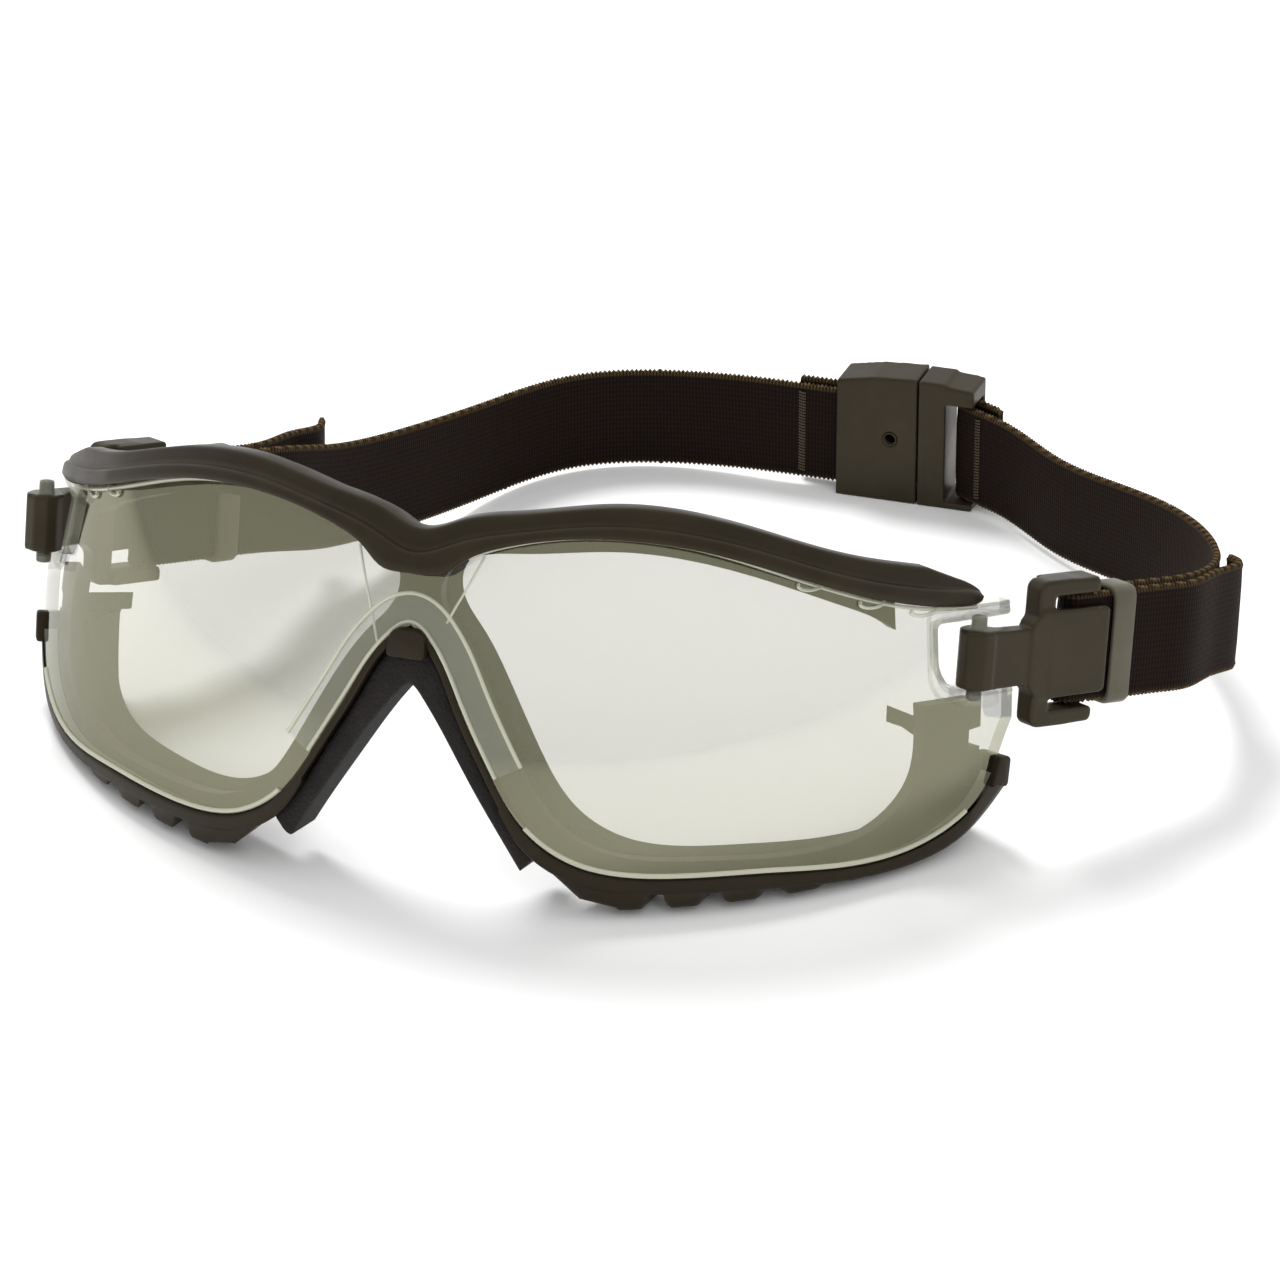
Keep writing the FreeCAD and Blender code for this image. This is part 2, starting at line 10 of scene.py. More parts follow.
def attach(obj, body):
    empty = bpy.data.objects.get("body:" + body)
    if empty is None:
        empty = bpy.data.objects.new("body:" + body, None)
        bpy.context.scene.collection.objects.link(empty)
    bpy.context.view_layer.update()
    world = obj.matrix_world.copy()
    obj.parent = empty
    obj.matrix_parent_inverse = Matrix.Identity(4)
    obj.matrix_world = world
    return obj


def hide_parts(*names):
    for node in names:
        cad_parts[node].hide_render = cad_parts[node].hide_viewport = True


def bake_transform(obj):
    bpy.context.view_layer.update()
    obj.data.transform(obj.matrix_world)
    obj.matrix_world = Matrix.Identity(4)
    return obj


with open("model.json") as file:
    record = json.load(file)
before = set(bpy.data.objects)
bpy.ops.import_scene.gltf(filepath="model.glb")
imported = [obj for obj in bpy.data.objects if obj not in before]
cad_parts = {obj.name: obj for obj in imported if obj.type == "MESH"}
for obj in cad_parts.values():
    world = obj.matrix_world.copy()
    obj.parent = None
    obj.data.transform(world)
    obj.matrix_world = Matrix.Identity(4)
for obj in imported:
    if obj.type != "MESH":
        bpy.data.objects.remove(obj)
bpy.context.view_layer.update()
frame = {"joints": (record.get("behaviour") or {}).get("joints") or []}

# Protective goggles. Sizes are in millimetres in two frames of the design: the upright
# frame of the front (x across, y to the rear, z up, nose bridge at x = 0), and the
# standing frame, where the front leans back. Both are moved into the row frame below.
MM = 0.001
SIDE_NAME = {1: "right", -1: "left"}
TILT = math.radians(12.0)
LENS_R, LENS_RV, LENS_Z, LENS_FRONT = 92.14, 136.0, 23.1, 0.58
LENS_T = 2.2
LENS_END = math.radians(65.5)
AXIS_Y = LENS_FRONT + LENS_R
HINGE_ANGLE, HINGE_R, HINGE_Z = math.radians(58.6), 93.6, 42.5
SOCKET_ANGLE = math.radians(55.2)
SOCKET_LOW, SOCKET_HIGH = HINGE_Z - 5.1, HINGE_Z + 5.1
SLOPE_X, SLOPE_Z = 2.2, 3.2
EAR_T, EAR_R, PEG_R = 2.2, 4.0, 1.25

CLIP_HEADING = {1: math.radians(55.0), -1: math.radians(59.0)}
CLIP_BAR, BAR_Y = 19.5, 0.8
STRAP_W, STRAP_T, LOOP_R = 18.0, 1.4, 1.0
LOOP_MID = LOOP_R + STRAP_T / 2
LEG = 42.0
BUCKLE_X, BUCKLE_Y, BUCKLE_MID = 17.5, 180.3, 9.6
BUCKLE_H, BUCKLE_D, HOUSING_L, TONGUE_L = 24.0, 8.0, 14.9, 10.4
FLOOR = -1.0

LENS_LOWER = [(0, 45.2), (3.3, 43.0), (8.6, 34.5), (14.8, 23.3), (20.0, 15.6), (28.5, 9.8),
              (40.0, 8.4), (56.8, 9.5), (73.1, 11.6), (80.0, 17.3), (82.9, 27.0), (85.5, 40.0)]
LENS_UPPER = [(0, 55.6), (5.4, 56.6), (13.0, 59.4), (31.0, 62.0), (48.0, 59.6), (64.0, 53.4),
              (75.5, 50.2), (85.5, 49.8)]
EYE_OPENING = [(24.5, 16.4), (31.5, 11.9), (48.0, 10.8), (61.0, 11.6), (70.0, 15.0), (74.5, 21.5),
               (75.0, 30.0), (74.0, 38.0), (71.0, 45.6), (62.0, 51.3), (48.0, 56.4), (31.0, 58.8),
               (16.0, 57.4), (7.0, 55.6), (3.9, 52.6), (4.0, 48.4), (7.6, 43.6), (12.8, 36.0),
               (19.0, 24.5)]
RAIL_LOWER = [(16.5, 17.4), (20.0, 12.0), (28.5, 6.7), (40.0, 5.6), (56.8, 6.7), (70.0, 8.0),
              (78.0, 11.3), (83.4, 19.6)]
RAIL_UPPER = [(16.5, 20.2), (20.0, 15.3), (28.5, 9.5), (40.0, 8.1), (56.8, 9.2), (73.1, 11.3),
              (80.3, 17.2), (82.6, 24.0)]
BROW_TOP = [(0, 60.2), (6.4, 62.3), (14.8, 64.0), (30.4, 66.2), (47.9, 64.0), (64.2, 58.5),
            (75.6, 55.1), (81.0, 52.2)]
BROW_LIP = [(0, 53.7), (4.6, 54.0), (8.0, 56.6), (13.0, 59.0), (20.0, 60.8), (29.0, 61.7),
            (42.0, 60.5), (50.0, 58.2), (57.0, 55.6), (65.0, 52.6), (72.0, 50.6), (81.0, 49.8)]
BROW_LEDGE = [(0, 57.0), (6.4, 59.2), (14.8, 61.6), (30.4, 63.8), (47.9, 61.4), (64.2, 55.6),
              (75.6, 52.6), (81.0, 51.2)]
BROW_SHELF = [(0, 58.6), (6.4, 60.7), (14.8, 62.4), (30.4, 64.6), (47.9, 62.4), (64.2, 56.9),
              (75.6, 53.5), (81.0, 50.9)]
NOSE_NOTCH = [(0, 35.4), (2.0, 33.8), (6.0, 28.4), (11.2, 20.2), (16.4, 12.0), (19.2, 7.4)]
NOSE_SEAT = [(0, 43.6), (2.9, 41.8), (7.8, 33.6), (14.0, 22.4), (19.0, 14.6), (22.4, 11.2)]

RIGHT_RUN = [(104.6, 99.0, 21.8, 10), (101.0, 119.0, 17.0, 7), (90.5, 137.5, 13.6, 4),
             (76.0, 152.0, 10.6, 0), (61.5, 163.0, 9.2, 0)]
LEFT_RUN = [(-51.5, 107.0, 17.8, 9), (-46.0, 131.0, 12.4, 5), (-40.0, 153.0, 9.2, 0),
            (-29.0, 171.0, 8.8, 0), (-12.0, 178.3, 8.9, 0)]
RIGHT_TAIL = [(106.8, 97.0, 22.6, 10), (108.2, 106.0, 20.2, 9), (105.4, 113.5, 17.6, 8)]
LEFT_TAIL = [(-57.5, 104.0, 20.8, 10), (-56.5, 112.0, 18.6, 9), (-58.6, 120.0, 16.4, 8)]


# ---- frames ----
def standing(points):
    """Upright front frame to the standing frame, mm."""
    p = np.asarray(points, float)
    y = p[..., 1] * math.cos(TILT) + p[..., 2] * math.sin(TILT)
    z = -p[..., 1] * math.sin(TILT) + p[..., 2] * math.cos(TILT)
    return np.stack([p[..., 0], y, z], -1)


def hinge_local(side):
    return np.array([side * HINGE_R * math.sin(HINGE_ANGLE),
                     AXIS_Y - HINGE_R * math.cos(HINGE_ANGLE), HINGE_Z])


joint_at = {joint["name"]: joint.get("pos_m") for joint in frame["joints"]}
ORIGIN = standing(hinge_local(1)) - np.array(joint_at["clip_right_hinge"]) / MM


def to_row(points, upright=True):
    """Points in mm to the row frame in metres."""
    p = standing(points) if upright else np.asarray(points, float)
    return (p - ORIGIN) * MM


def reach(z, off=0.0):
    return LENS_R - LENS_RV + np.sqrt((LENS_RV + off) ** 2 - (np.asarray(z, float) - LENS_Z) ** 2)


def skin(x, z, off):
    """Point at x and z on the wall that lies off the lens' outer face."""
    x, z, off = np.broadcast_arrays(np.asarray(x, float), z, off)
    span = np.maximum(reach(z, off) ** 2 - x ** 2, 1.0)
    return to_row(np.stack([x, AXIS_Y - np.sqrt(span), z], -1))


def radial(arc, z, off):
    """Point at an arc length from the bridge, measured on the lens' outer face."""
    arc, z, off = np.broadcast_arrays(np.asarray(arc, float), z, off)
    angle = arc / LENS_R
    r = reach(z, off)
    return to_row(np.stack([r * np.sin(angle), AXIS_Y - r * np.cos(angle), z], -1))


def arc_of(x, z):
    return LENS_R * np.arcsin(np.clip(np.asarray(x, float) / reach(z), -1, 1))


# ---- curves ----
def smooth(points, count, closed=False):
    """Evenly spread samples of the natural cubic curve through the points."""
    p = np.array(points, float)
    if closed:
        p = np.vstack([p, p, p, p[:1]])
    t = np.concatenate([[0], np.cumsum(np.linalg.norm(np.diff(p[:, :3], axis=0), axis=1))])
    h = np.diff(t)
    size = len(p)
    matrix, right = np.eye(size), np.zeros_like(p)
    for i in range(1, size - 1):
        matrix[i, i - 1:i + 2] = h[i - 1], 2 * (h[i - 1] + h[i]), h[i]
        right[i] = 6 * ((p[i + 1] - p[i]) / h[i] - (p[i] - p[i - 1]) / h[i - 1])
    m = np.linalg.solve(matrix, right)
    third = (size - 1) // 3
    low, high = (t[third], t[2 * third]) if closed else (t[0], t[-1])
    s = np.linspace(low, high, count, endpoint=not closed)
    i = np.clip(np.searchsorted(t, s, "right") - 1, 0, size - 2)
    a, b, w = (t[i + 1] - s)[:, None], (s - t[i])[:, None], h[i][:, None]
    return ((m[i] * a ** 3 + m[i + 1] * b ** 3) / (6 * w)
            + (p[i] / w - m[i] * w / 6) * a + (p[i + 1] / w - m[i + 1] * w / 6) * b)


def headings(points):
    """Unit directions along a line of points."""
    way = np.gradient(points, axis=0)
    return way / np.linalg.norm(way, axis=1)[:, None]


def circle(count):
    return np.linspace(0, 2 * math.pi, count, endpoint=False)


def mirrored(points):
    left = [(-x, z) for x, z in reversed(points) if x > 0]
    return left + list(points)


def height(points):
    """z of a left-to-right outline as a function of x."""
    line = smooth(mirrored(points), 900)
    return lambda x: np.interp(x, line[:, 0], line[:, 1])


lens_low, lens_high = height(LENS_LOWER), height(LENS_UPPER)
rail_low, rail_high = height(RAIL_LOWER), height(RAIL_UPPER)
brow_top, brow_lip = height(BROW_TOP), height(BROW_LIP)
brow_ledge, brow_shelf = height(BROW_LEDGE), height(BROW_SHELF)


def ease(value, start, end):
    """0 at the start, 1 at the end, straight between them."""
    return min(1.0, max(0.0, (value - start) / (end - start)))


def rounded(corners, radii, steps=5):
    """Closed outline with each corner rounded."""
    p = [Vector(c) for c in corners]
    radii = [radii] * len(p) if isinstance(radii, (int, float)) else radii
    out = []
    for i, corner in enumerate(p):
        back, ahead = p[i - 1] - corner, p[(i + 1) % len(p)] - corner
        cut = min(radii[i], 0.49 * back.length, 0.49 * ahead.length)
        if cut < 1e-6:
            out.append(tuple(corner))
            continue
        a, b = corner + back.normalized() * cut, corner + ahead.normalized() * cut
        for k in range(steps + 1):
            t = k / steps
            out.append(tuple(a * (1 - t) ** 2 + corner * 2 * t * (1 - t) + b * t * t))
    return out


# ---- mesh builder ----
class Shell:
    """Collects closed shells, each a loft or a plate, into one mesh."""

    def __init__(self):
        self.points, self.faces, self.marks, self.uvs = [], [], [], []

    def add(self, points, faces, marks, uv=None):
        base = len(self.points)
        self.points.extend(map(tuple, points))
        self.faces.extend([tuple(base + i for i in face) for face in faces])
        self.marks.extend(marks)
        self.uvs.extend(map(tuple, uv) if uv is not None else [(p[0], p[2]) for p in points])

    def loft(self, sections, ring=False, uv=None):
        """Tube of closed sections, an (n, m, 3) array, capped unless it is a ring."""
        s = np.asarray(sections)
        n, m = s.shape[:2]
        faces = []
        for i in range(n if ring else n - 1):
            k = (i + 1) % n
            for j in range(m):
                q = (j + 1) % m
                faces.append((i * m + j, i * m + q, k * m + q, k * m + j))
        if not ring:
            faces.append(tuple(range(m))[::-1])
            faces.append(tuple((n - 1) * m + j for j in range(m)))
        uv = None if uv is None else np.asarray(uv).reshape(-1, 2)
        self.add(s.reshape(-1, 3), faces, [0] * len(faces), uv)

    def make(self, name, materials, body="front", sharp=38):
        mesh = bpy.data.meshes.new(name)
        mesh.from_pydata(self.points, [], self.faces)
        for i, mark in enumerate(self.marks):
            mesh.polygons[i].material_index = mark
        layer = mesh.uv_layers.new(name="span")
        for loop in mesh.loops:
            layer.data[loop.index].uv = self.uvs[loop.vertex_index]
        outward(mesh)
        return finish(name, mesh, materials, body, sharp)


def outward(mesh):
    """Turns the faces of a closed mesh outwards."""
    bm = bmesh.new()
    bm.from_mesh(mesh)
    bmesh.ops.recalc_face_normals(bm, faces=bm.faces)
    bm.to_mesh(mesh)
    bm.free()


def finish(name, mesh, materials, body, sharp):
    """Gives a mesh its materials and shading, and lets it ride on a body."""
    for material in materials:
        mesh.materials.append(material)
    mesh.shade_smooth()
    mesh.set_sharp_from_angle(angle=math.radians(sharp))
    piece = bpy.data.objects.new(name, mesh)
    bpy.context.scene.collection.objects.link(piece)
    if body:
        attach(piece, body)
    return piece


def inside(points, loop):
    x, y = points[:, 0][:, None], points[:, 1][:, None]
    a, b = np.asarray(loop), np.roll(loop, -1, axis=0)
    span = (a[:, 1] > y) != (b[:, 1] > y)
    with np.errstate(divide="ignore", invalid="ignore"):
        cross = (b[:, 0] - a[:, 0]) * (y - a[:, 1]) / (b[:, 1] - a[:, 1]) + a[:, 0]
    return (np.sum(span & (x < cross), axis=1) % 2) == 1


def plate(shell, loops, spacing, place, front, back, marks=(0, 1, 2)):
    """Closed curved plate. The first loop is its edge and the others are holes."""
    loops = [np.asarray(loop, float) for loop in loops]
    low, high = loops[0].min(0), loops[0].max(0)
    gx, gy = np.meshgrid(np.arange(low[0], high[0], spacing), np.arange(low[1], high[1], spacing))
    grid = np.stack([gx.ravel(), gy.ravel()], 1)
    edge = np.vstack(loops)
    near = np.min(np.linalg.norm(grid[:, None] - edge[None], axis=2), axis=1)
    grid = grid[inside(grid, loops[0]) & (near > 0.45 * spacing)]
    for hole in loops[1:]:
        grid = grid[~inside(grid, hole)]
    edges, start = [], 0
    for loop in loops:
        count = len(loop)
        edges += [(start + i, start + (i + 1) % count) for i in range(count)]
        start += count
    flat = [Vector(p) for p in np.vstack([edge, grid])]
    verts, _, tris, *_ = geometry.delaunay_2d_cdt(flat, edges, [], 0, 1e-5)
    uv = np.array([tuple(v) for v in verts])
    tris = np.array([tuple(t) for t in tris])
    middle = uv[tris].mean(1)
    keep = inside(middle, loops[0])
    for hole in loops[1:]:
        keep &= ~inside(middle, hole)
    tris = tris[keep]
    used = Counter(tuple(sorted(pair)) for a, b, c in tris for pair in ((a, b), (b, c), (c, a)))
    rim = [pair for pair, count in used.items() if count == 1]
    n = len(uv)
    points = np.vstack([place(uv[:, 0], uv[:, 1], front), place(uv[:, 0], uv[:, 1], back)])
    faces = [tuple(t) for t in tris] + [tuple(n + i for i in t[::-1]) for t in tris]
    faces += [(a, b, b + n, a + n) for a, b in rim]
    mark = [marks[0]] * len(tris) + [marks[1]] * len(tris) + [marks[2]] * len(rim)
    kept = sorted({i for face in faces for i in face})
    renumber = {old: new for new, old in enumerate(kept)}
    faces = [tuple(renumber[i] for i in face) for face in faces]
    shell.add(points[kept], faces, mark, np.vstack([uv, uv])[kept] * MM)


def bar_section(width, depth, radius, steps=3):
    """Rounded rectangle from 0 to 1 across its width and 0 to 1 through its depth."""
    a, b = min(radius / width, 0.49), min(radius / depth, 0.49)
    out = []
    for cx, cy, start in ((1 - a, b, -90), (1 - a, 1 - b, 0), (a, 1 - b, 90), (a, b, 180)):
        for k in range(steps + 1):
            angle = math.radians(start + 90 * k / steps)
            out.append((cx + a * math.cos(angle), cy + b * math.sin(angle)))
    return np.array(out)


def strip(shell, lower, upper, front, back, radius, place=skin, steps=3):
    """Wall between two matched lines of (x, z), from one offset to another."""
    sections = []
    for low, high in zip(np.asarray(lower), np.asarray(upper)):
        width = max(np.linalg.norm(high - low), 0.2)
        share = bar_section(width, abs(front - back), radius, steps)
        p = low + (high - low) * share[:, :1]
        sections.append(place(p[:, 0], p[:, 1], front + (back - front) * share[:, 1]))
    shell.loft(sections)


def tablet(shell, outline, front, back, round_by, place=skin):
    """Block of a closed outline, pulled through the wall, with rounded front and rear edges."""
    line = np.asarray(outline, float)
    centre = line.mean(0)
    size = np.linalg.norm(line - centre, axis=1).max()
    sections = []
    for share, inset in ((0, 1), (0.3, 0.3), (1, 0), (-1, 0), (-0.3, 0.3), (0, 1)):
        off = front - share * round_by if len(sections) < 3 else back - share * round_by
        grow = 1 - inset * round_by / size
        p = centre + (line - centre) * grow
        sections.append(place(p[:, 0], p[:, 1], off))
    shell.loft(sections)


BEAD_UP = np.array([0.13, 0.31, 0.94])


def tube(shell, line, radius, sides=8):
    """Round bead along a line of row-frame points; the radius is in mm."""
    p = np.asarray(line, float)
    way = headings(p)
    side = np.cross(way, BEAD_UP)
    side /= np.linalg.norm(side, axis=1)[:, None]
    lift = np.cross(side, way)
    turn = circle(sides)
    round_line = (np.cos(turn)[None, :, None] * side[:, None]
                  + np.sin(turn)[None, :, None] * lift[:, None])
    shell.loft(p[:, None] + radius * MM * round_line)


# ---- materials ----
def material(name, colour, roughness, metallic=0.0, **settings):
    m = bpy.data.materials.new(name)
    m.use_nodes = True
    shader = shader_of(m)
    shader.inputs["Base Color"].default_value = (*colour, 1)
    shader.inputs["Roughness"].default_value = roughness
    shader.inputs["Metallic"].default_value = metallic
    for key, value in settings.items():
        shader.inputs[key.replace("_", " ")].default_value = value
    return m


def node(m, kind, **inputs):
    n = m.node_tree.nodes.new("ShaderNode" + kind)
    for key, value in inputs.items():
        socket = n.inputs[int(key[1:])] if key[0] == "i" and key[1:].isdigit() else n.inputs[key]
        socket.default_value = value
    return n


def link(m, a, out, b, into):
    m.node_tree.links.new(a.outputs[out], b.inputs[into])


def ramp(m, source, out, stops):
    n = node(m, "ValToRGB")
    while len(n.color_ramp.elements) < len(stops):
        n.color_ramp.elements.new(0.5)
    for element, (position, colour) in zip(n.color_ramp.elements, stops):
        element.position = position
        element.color = (*colour, 1)
    link(m, source, out, n, 0)
    return n


def object_space(m):
    coordinates = node(m, "TexCoord")
    mapping = node(m, "Mapping")
    link(m, coordinates, "Object", mapping, "Vector")
    return mapping


def shader_of(m):
    return m.node_tree.nodes["Principled BSDF"]


def texture(m, kind, space, **inputs):
    n = node(m, kind, **inputs)
    link(m, space, 0, n, "Vector")
    return n


def bumped(m, source, out, strength, distance):
    """Uses a texture's output as relief; the distance is in metres."""
    bump = node(m, "Bump", Strength=strength, Distance=distance)
    link(m, source, out, bump, "Height")
    link(m, bump, 0, shader_of(m), "Normal")


def mixed(m, factor, first, second=None):
    mix = node(m, "Mix")
    mix.data_type = "RGBA"
    for i, source in ((0, factor), (6, first), (7, second)):
        if source:
            link(m, source, 0, mix, i)
    return mix


def moulded(name, dark, light, rough):
    """Satin moulding: fine pebbled grain, faint cloudiness and paler sharp convex edges."""
    m = material(name, light, rough[0], Specular_IOR_Level=0.3,
                 Specular_Tint=(1.0, 0.86, 0.64, 1))
    space = object_space(m)
    cloud = texture(m, "TexNoise", space, Scale=95.0, Detail=4.0, Roughness=0.6)
    fine = texture(m, "TexNoise", space, Scale=2600.0, Detail=2.0, Roughness=0.5)
    tone = ramp(m, cloud, 0, [(0.32, dark), (0.7, light)])
    edge = node(m, "NewGeometry")
    # Sharp convex edges, found by pointiness, are mixed towards a paler tone.
    pale_edge_mask = ramp(m, edge, "Pointiness", [(0.53, (0, 0, 0)), (0.62, (0.35, 0.35, 0.35))])
    mix = mixed(m, pale_edge_mask, tone)
    mix.inputs[7].default_value = (*[min(1, c * 2.2 + 0.02) for c in light], 1)
    link(m, mix, 2, shader_of(m), "Base Color")
    shine = ramp(m, cloud, 0, [(0.3, (rough[0],) * 3), (0.7, (rough[1],) * 3)])
    link(m, shine, 0, shader_of(m), "Roughness")
    bumped(m, fine, 0, 0.35, 0.04 * MM)
    return m


def math_node(m, operation, a=None, b=None):
    n = node(m, "Math")
    n.operation = operation
    for i, value in enumerate((a, b)):
        if isinstance(value, (int, float)):
            n.inputs[i].default_value = value
        elif value is not None:
            link(m, value[0], value[1], n, i)
    return n


RIB_PITCH, ROW_PITCH = 0.62 * MM, 0.9 * MM


def webbing_material():
    """Narrow-ribbed elastic: fine ribs across, knit rows along, golden picot edges."""
    m = material("elastic_webbing", (0.03, 0.016, 0.012), 0.8)
    shader = shader_of(m)
    shader.inputs["Sheen Weight"].default_value = 0.04
    shader.inputs["Specular IOR Level"].default_value = 0.1
    shader.inputs["Sheen Roughness"].default_value = 0.5
    shader.inputs["Sheen Tint"].default_value = (0.35, 0.22, 0.16, 1)
    span = node(m, "UVMap")
    span.uv_map = "span"
    split = node(m, "SeparateXYZ")
    link(m, span, 0, split, 0)
    ribs, rows = (math_node(m, "SINE", (math_node(m, "MULTIPLY", (split, i), 2 * math.pi / pitch), 0))
                  for i, pitch in enumerate((RIB_PITCH, ROW_PITCH)))
    weave = math_node(m, "MULTIPLY_ADD", (ribs, 0), 0.32)
    centre = math_node(m, "ADD", (math_node(m, "MULTIPLY", (rows, 0), 0.18), 0), 0.5)
    link(m, centre, 0, weave, 2)
    fuzz = texture(m, "TexNoise", object_space(m), Scale=900.0, Detail=3.0, Roughness=0.7)
    height_mix = math_node(m, "ADD", (weave, 0), (math_node(m, "MULTIPLY", (fuzz, 0), 0.35), 0))
    body = ramp(m, height_mix, 0, [(0.3, (0.0042, 0.0022, 0.0016)), (0.8, (0.0078, 0.0040, 0.0028)),
                                   (1.0, (0.0125, 0.0066, 0.0042))])
    edge = math_node(m, "ABSOLUTE", (split, 1))
    edge_mask = ramp(m, math_node(m, "MULTIPLY", (edge, 0), 100.0), 0,
                     [(0.80, (0, 0, 0)), (0.90, (1, 1, 1))])
    gold = ramp(m, height_mix, 0, [(0.4, (0.016, 0.010, 0.0045)), (0.95, (0.10, 0.066, 0.028))])
    link(m, mixed(m, edge_mask, body, gold), 2, shader, "Base Color")
    bumped(m, height_mix, 0, 0.6, 0.14 * MM)
    return m


def foam_material():
    """Closed-cell foam: near black, matt, with small open cells on its skin."""
    m = material("closed_cell_foam", (0.012, 0.009, 0.008), 0.92)
    space = object_space(m)
    cells = texture(m, "TexVoronoi", space, Scale=1500.0)
    cloud = texture(m, "TexNoise", space, Scale=260.0, Detail=4.0)
    tone = ramp(m, cloud, 0, [(0.3, (0.0045, 0.0034, 0.003)), (0.75, (0.0125, 0.0092, 0.0078))])
    link(m, tone, 0, shader_of(m), "Base Color")
    bumped(m, cells, 0, 0.7, 0.3 * MM)
    return m


def lens_material(name, colour, alpha, rough, metallic):
    """Coated clear polycarbonate, with faint smears that only change its gloss."""
    m = material(name, colour, rough, metallic, Alpha=alpha)
    shader = shader_of(m)
    smear = texture(m, "TexNoise", object_space(m), Scale=38.0, Detail=3.0)
    gloss = ramp(m, smear, 0, [(0.35, (rough,) * 3), (0.75, (rough + 0.05,) * 3)])
    link(m, gloss, 0, shader, "Roughness")
    tone = ramp(m, smear, 0, [(0.3, colour), (0.8, tuple(c * 0.96 for c in colour))])
    link(m, tone, 0, shader, "Base Color")
    return m


MIRROR = lens_material("lens_mirror_coat", (0.335, 0.33, 0.222), 0.49, 0.03, 1.0)
INNER = lens_material("lens_inner_face", (0.60, 0.60, 0.44), 0.11, 0.05, 0.0)
# Pale, half-opaque cream for the lens' cut edges and beads: a painted highlight for the light that
# clear edges catch.
EDGE_HIGHLIGHT = lens_material("lens_edge_painted_highlight", (0.72, 0.72, 0.58), 0.60, 0.12, 0.25)
CLEAR = lens_material("clear_moulding", (0.46, 0.47, 0.39), 0.15, 0.06, 0.35)
BROW = moulded("brow_moulding", (0.0085, 0.0062, 0.003), (0.0165, 0.0125, 0.0062), (0.36, 0.5))
FRAME = moulded("carriage_moulding", (0.0062, 0.0044, 0.0022), (0.012, 0.0087, 0.0045), (0.4, 0.55))
CLIP = moulded("clip_moulding", (0.0135, 0.0105, 0.0056), (0.025, 0.0198, 0.011), (0.34, 0.46))
KEEPER = moulded("keeper_moulding", (0.062, 0.058, 0.042), (0.092, 0.087, 0.066), (0.32, 0.45))
BUCKLE = moulded("buckle_moulding", (0.0145, 0.0115, 0.0065), (0.026, 0.021, 0.012), (0.36, 0.5))
FOAM = foam_material()
WEB = webbing_material()


def thread_material():
    m = material("bar_tack_thread", (0.055, 0.04, 0.022), 0.7)
    twist = texture(m, "TexWave", object_space(m), Scale=900.0, Distortion=1.5)
    tone = ramp(m, twist, 1, [(0.2, (0.03, 0.021, 0.011)), (0.8, (0.085, 0.062, 0.034))])
    link(m, tone, 0, shader_of(m), "Base Color")
    bumped(m, twist, 1, 0.5, 0.1 * MM)
    return m


THREAD = thread_material()


# ---- lens ----
def both_sides(half):
    return half + [(-a, z) for a, z in reversed(half) if a > 1e-6]


def edge_arcs():
    """Lower and upper edge of the lens, right half, as (arc, z)."""
    lines = smooth(LENS_LOWER, 150), smooth(LENS_UPPER, 110)
    return [np.stack([arc_of(line[:, 0], line[:, 1]), line[:, 1]], 1) for line in lines]


def edge_corner(edge, arc):
    return arc, float(np.interp(arc, edge[:, 0], edge[:, 1]))


def half_outline(low, low_end, side, high, high_end):
    """Right half of an outline: the lower edge, the side, then the upper edge back."""
    gap = 0.3
    return (list(map(tuple, low[low[:, 0] < low_end - gap])) + side
            + list(map(tuple, high[high[:, 0] < high_end - gap][::-1])))


def lens_half():
    """The right half of the lens' edge, with the notch of the hinge socket in its side."""
    low, high = edge_arcs()
    end, start = LENS_R * LENS_END, LENS_R * SOCKET_ANGLE
    side = rounded([edge_corner(low, end), (end, SOCKET_LOW), (start + SLOPE_X, SOCKET_LOW),
                    (start, SOCKET_LOW + SLOPE_Z), (start, SOCKET_HIGH), (end, SOCKET_HIGH),
                    edge_corner(high, end)], [0, 1.2, 1.6, 1.6, 1.2, 0.8, 0])
    return half_outline(low, end, side, high, end)


def make_lens():
    shell = Shell()
    plate(shell, [both_sides(lens_half())], 2.2, radial, 0.0, -LENS_T)
    piece = shell.make("lens_visor", [MIRROR, INNER, EDGE_HIGHLIGHT])
    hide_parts("lens")


def shifted(points, distance):
    """Outline moved sideways, to the left of its direction."""
    way = headings(points)
    return points + np.stack([-way[:, 1], way[:, 0]], 1) * distance


NOSE_LINE = [(0, 45.2), (3.3, 43.0), (8.6, 34.5), (15.2, 22.6)]
CREASE = [(-10.2, 56.2), (-8.6, 51.5), (-6.4, 45.5), (-5.2, 41.8)]
CREASE_RIGHT = [(10.4, 57.0), (8.6, 52.5), (6.8, 48.6), (5.8, 46.2)]
LUGS = [57.2, 65.5, 72.0, -61.5, -67.5]


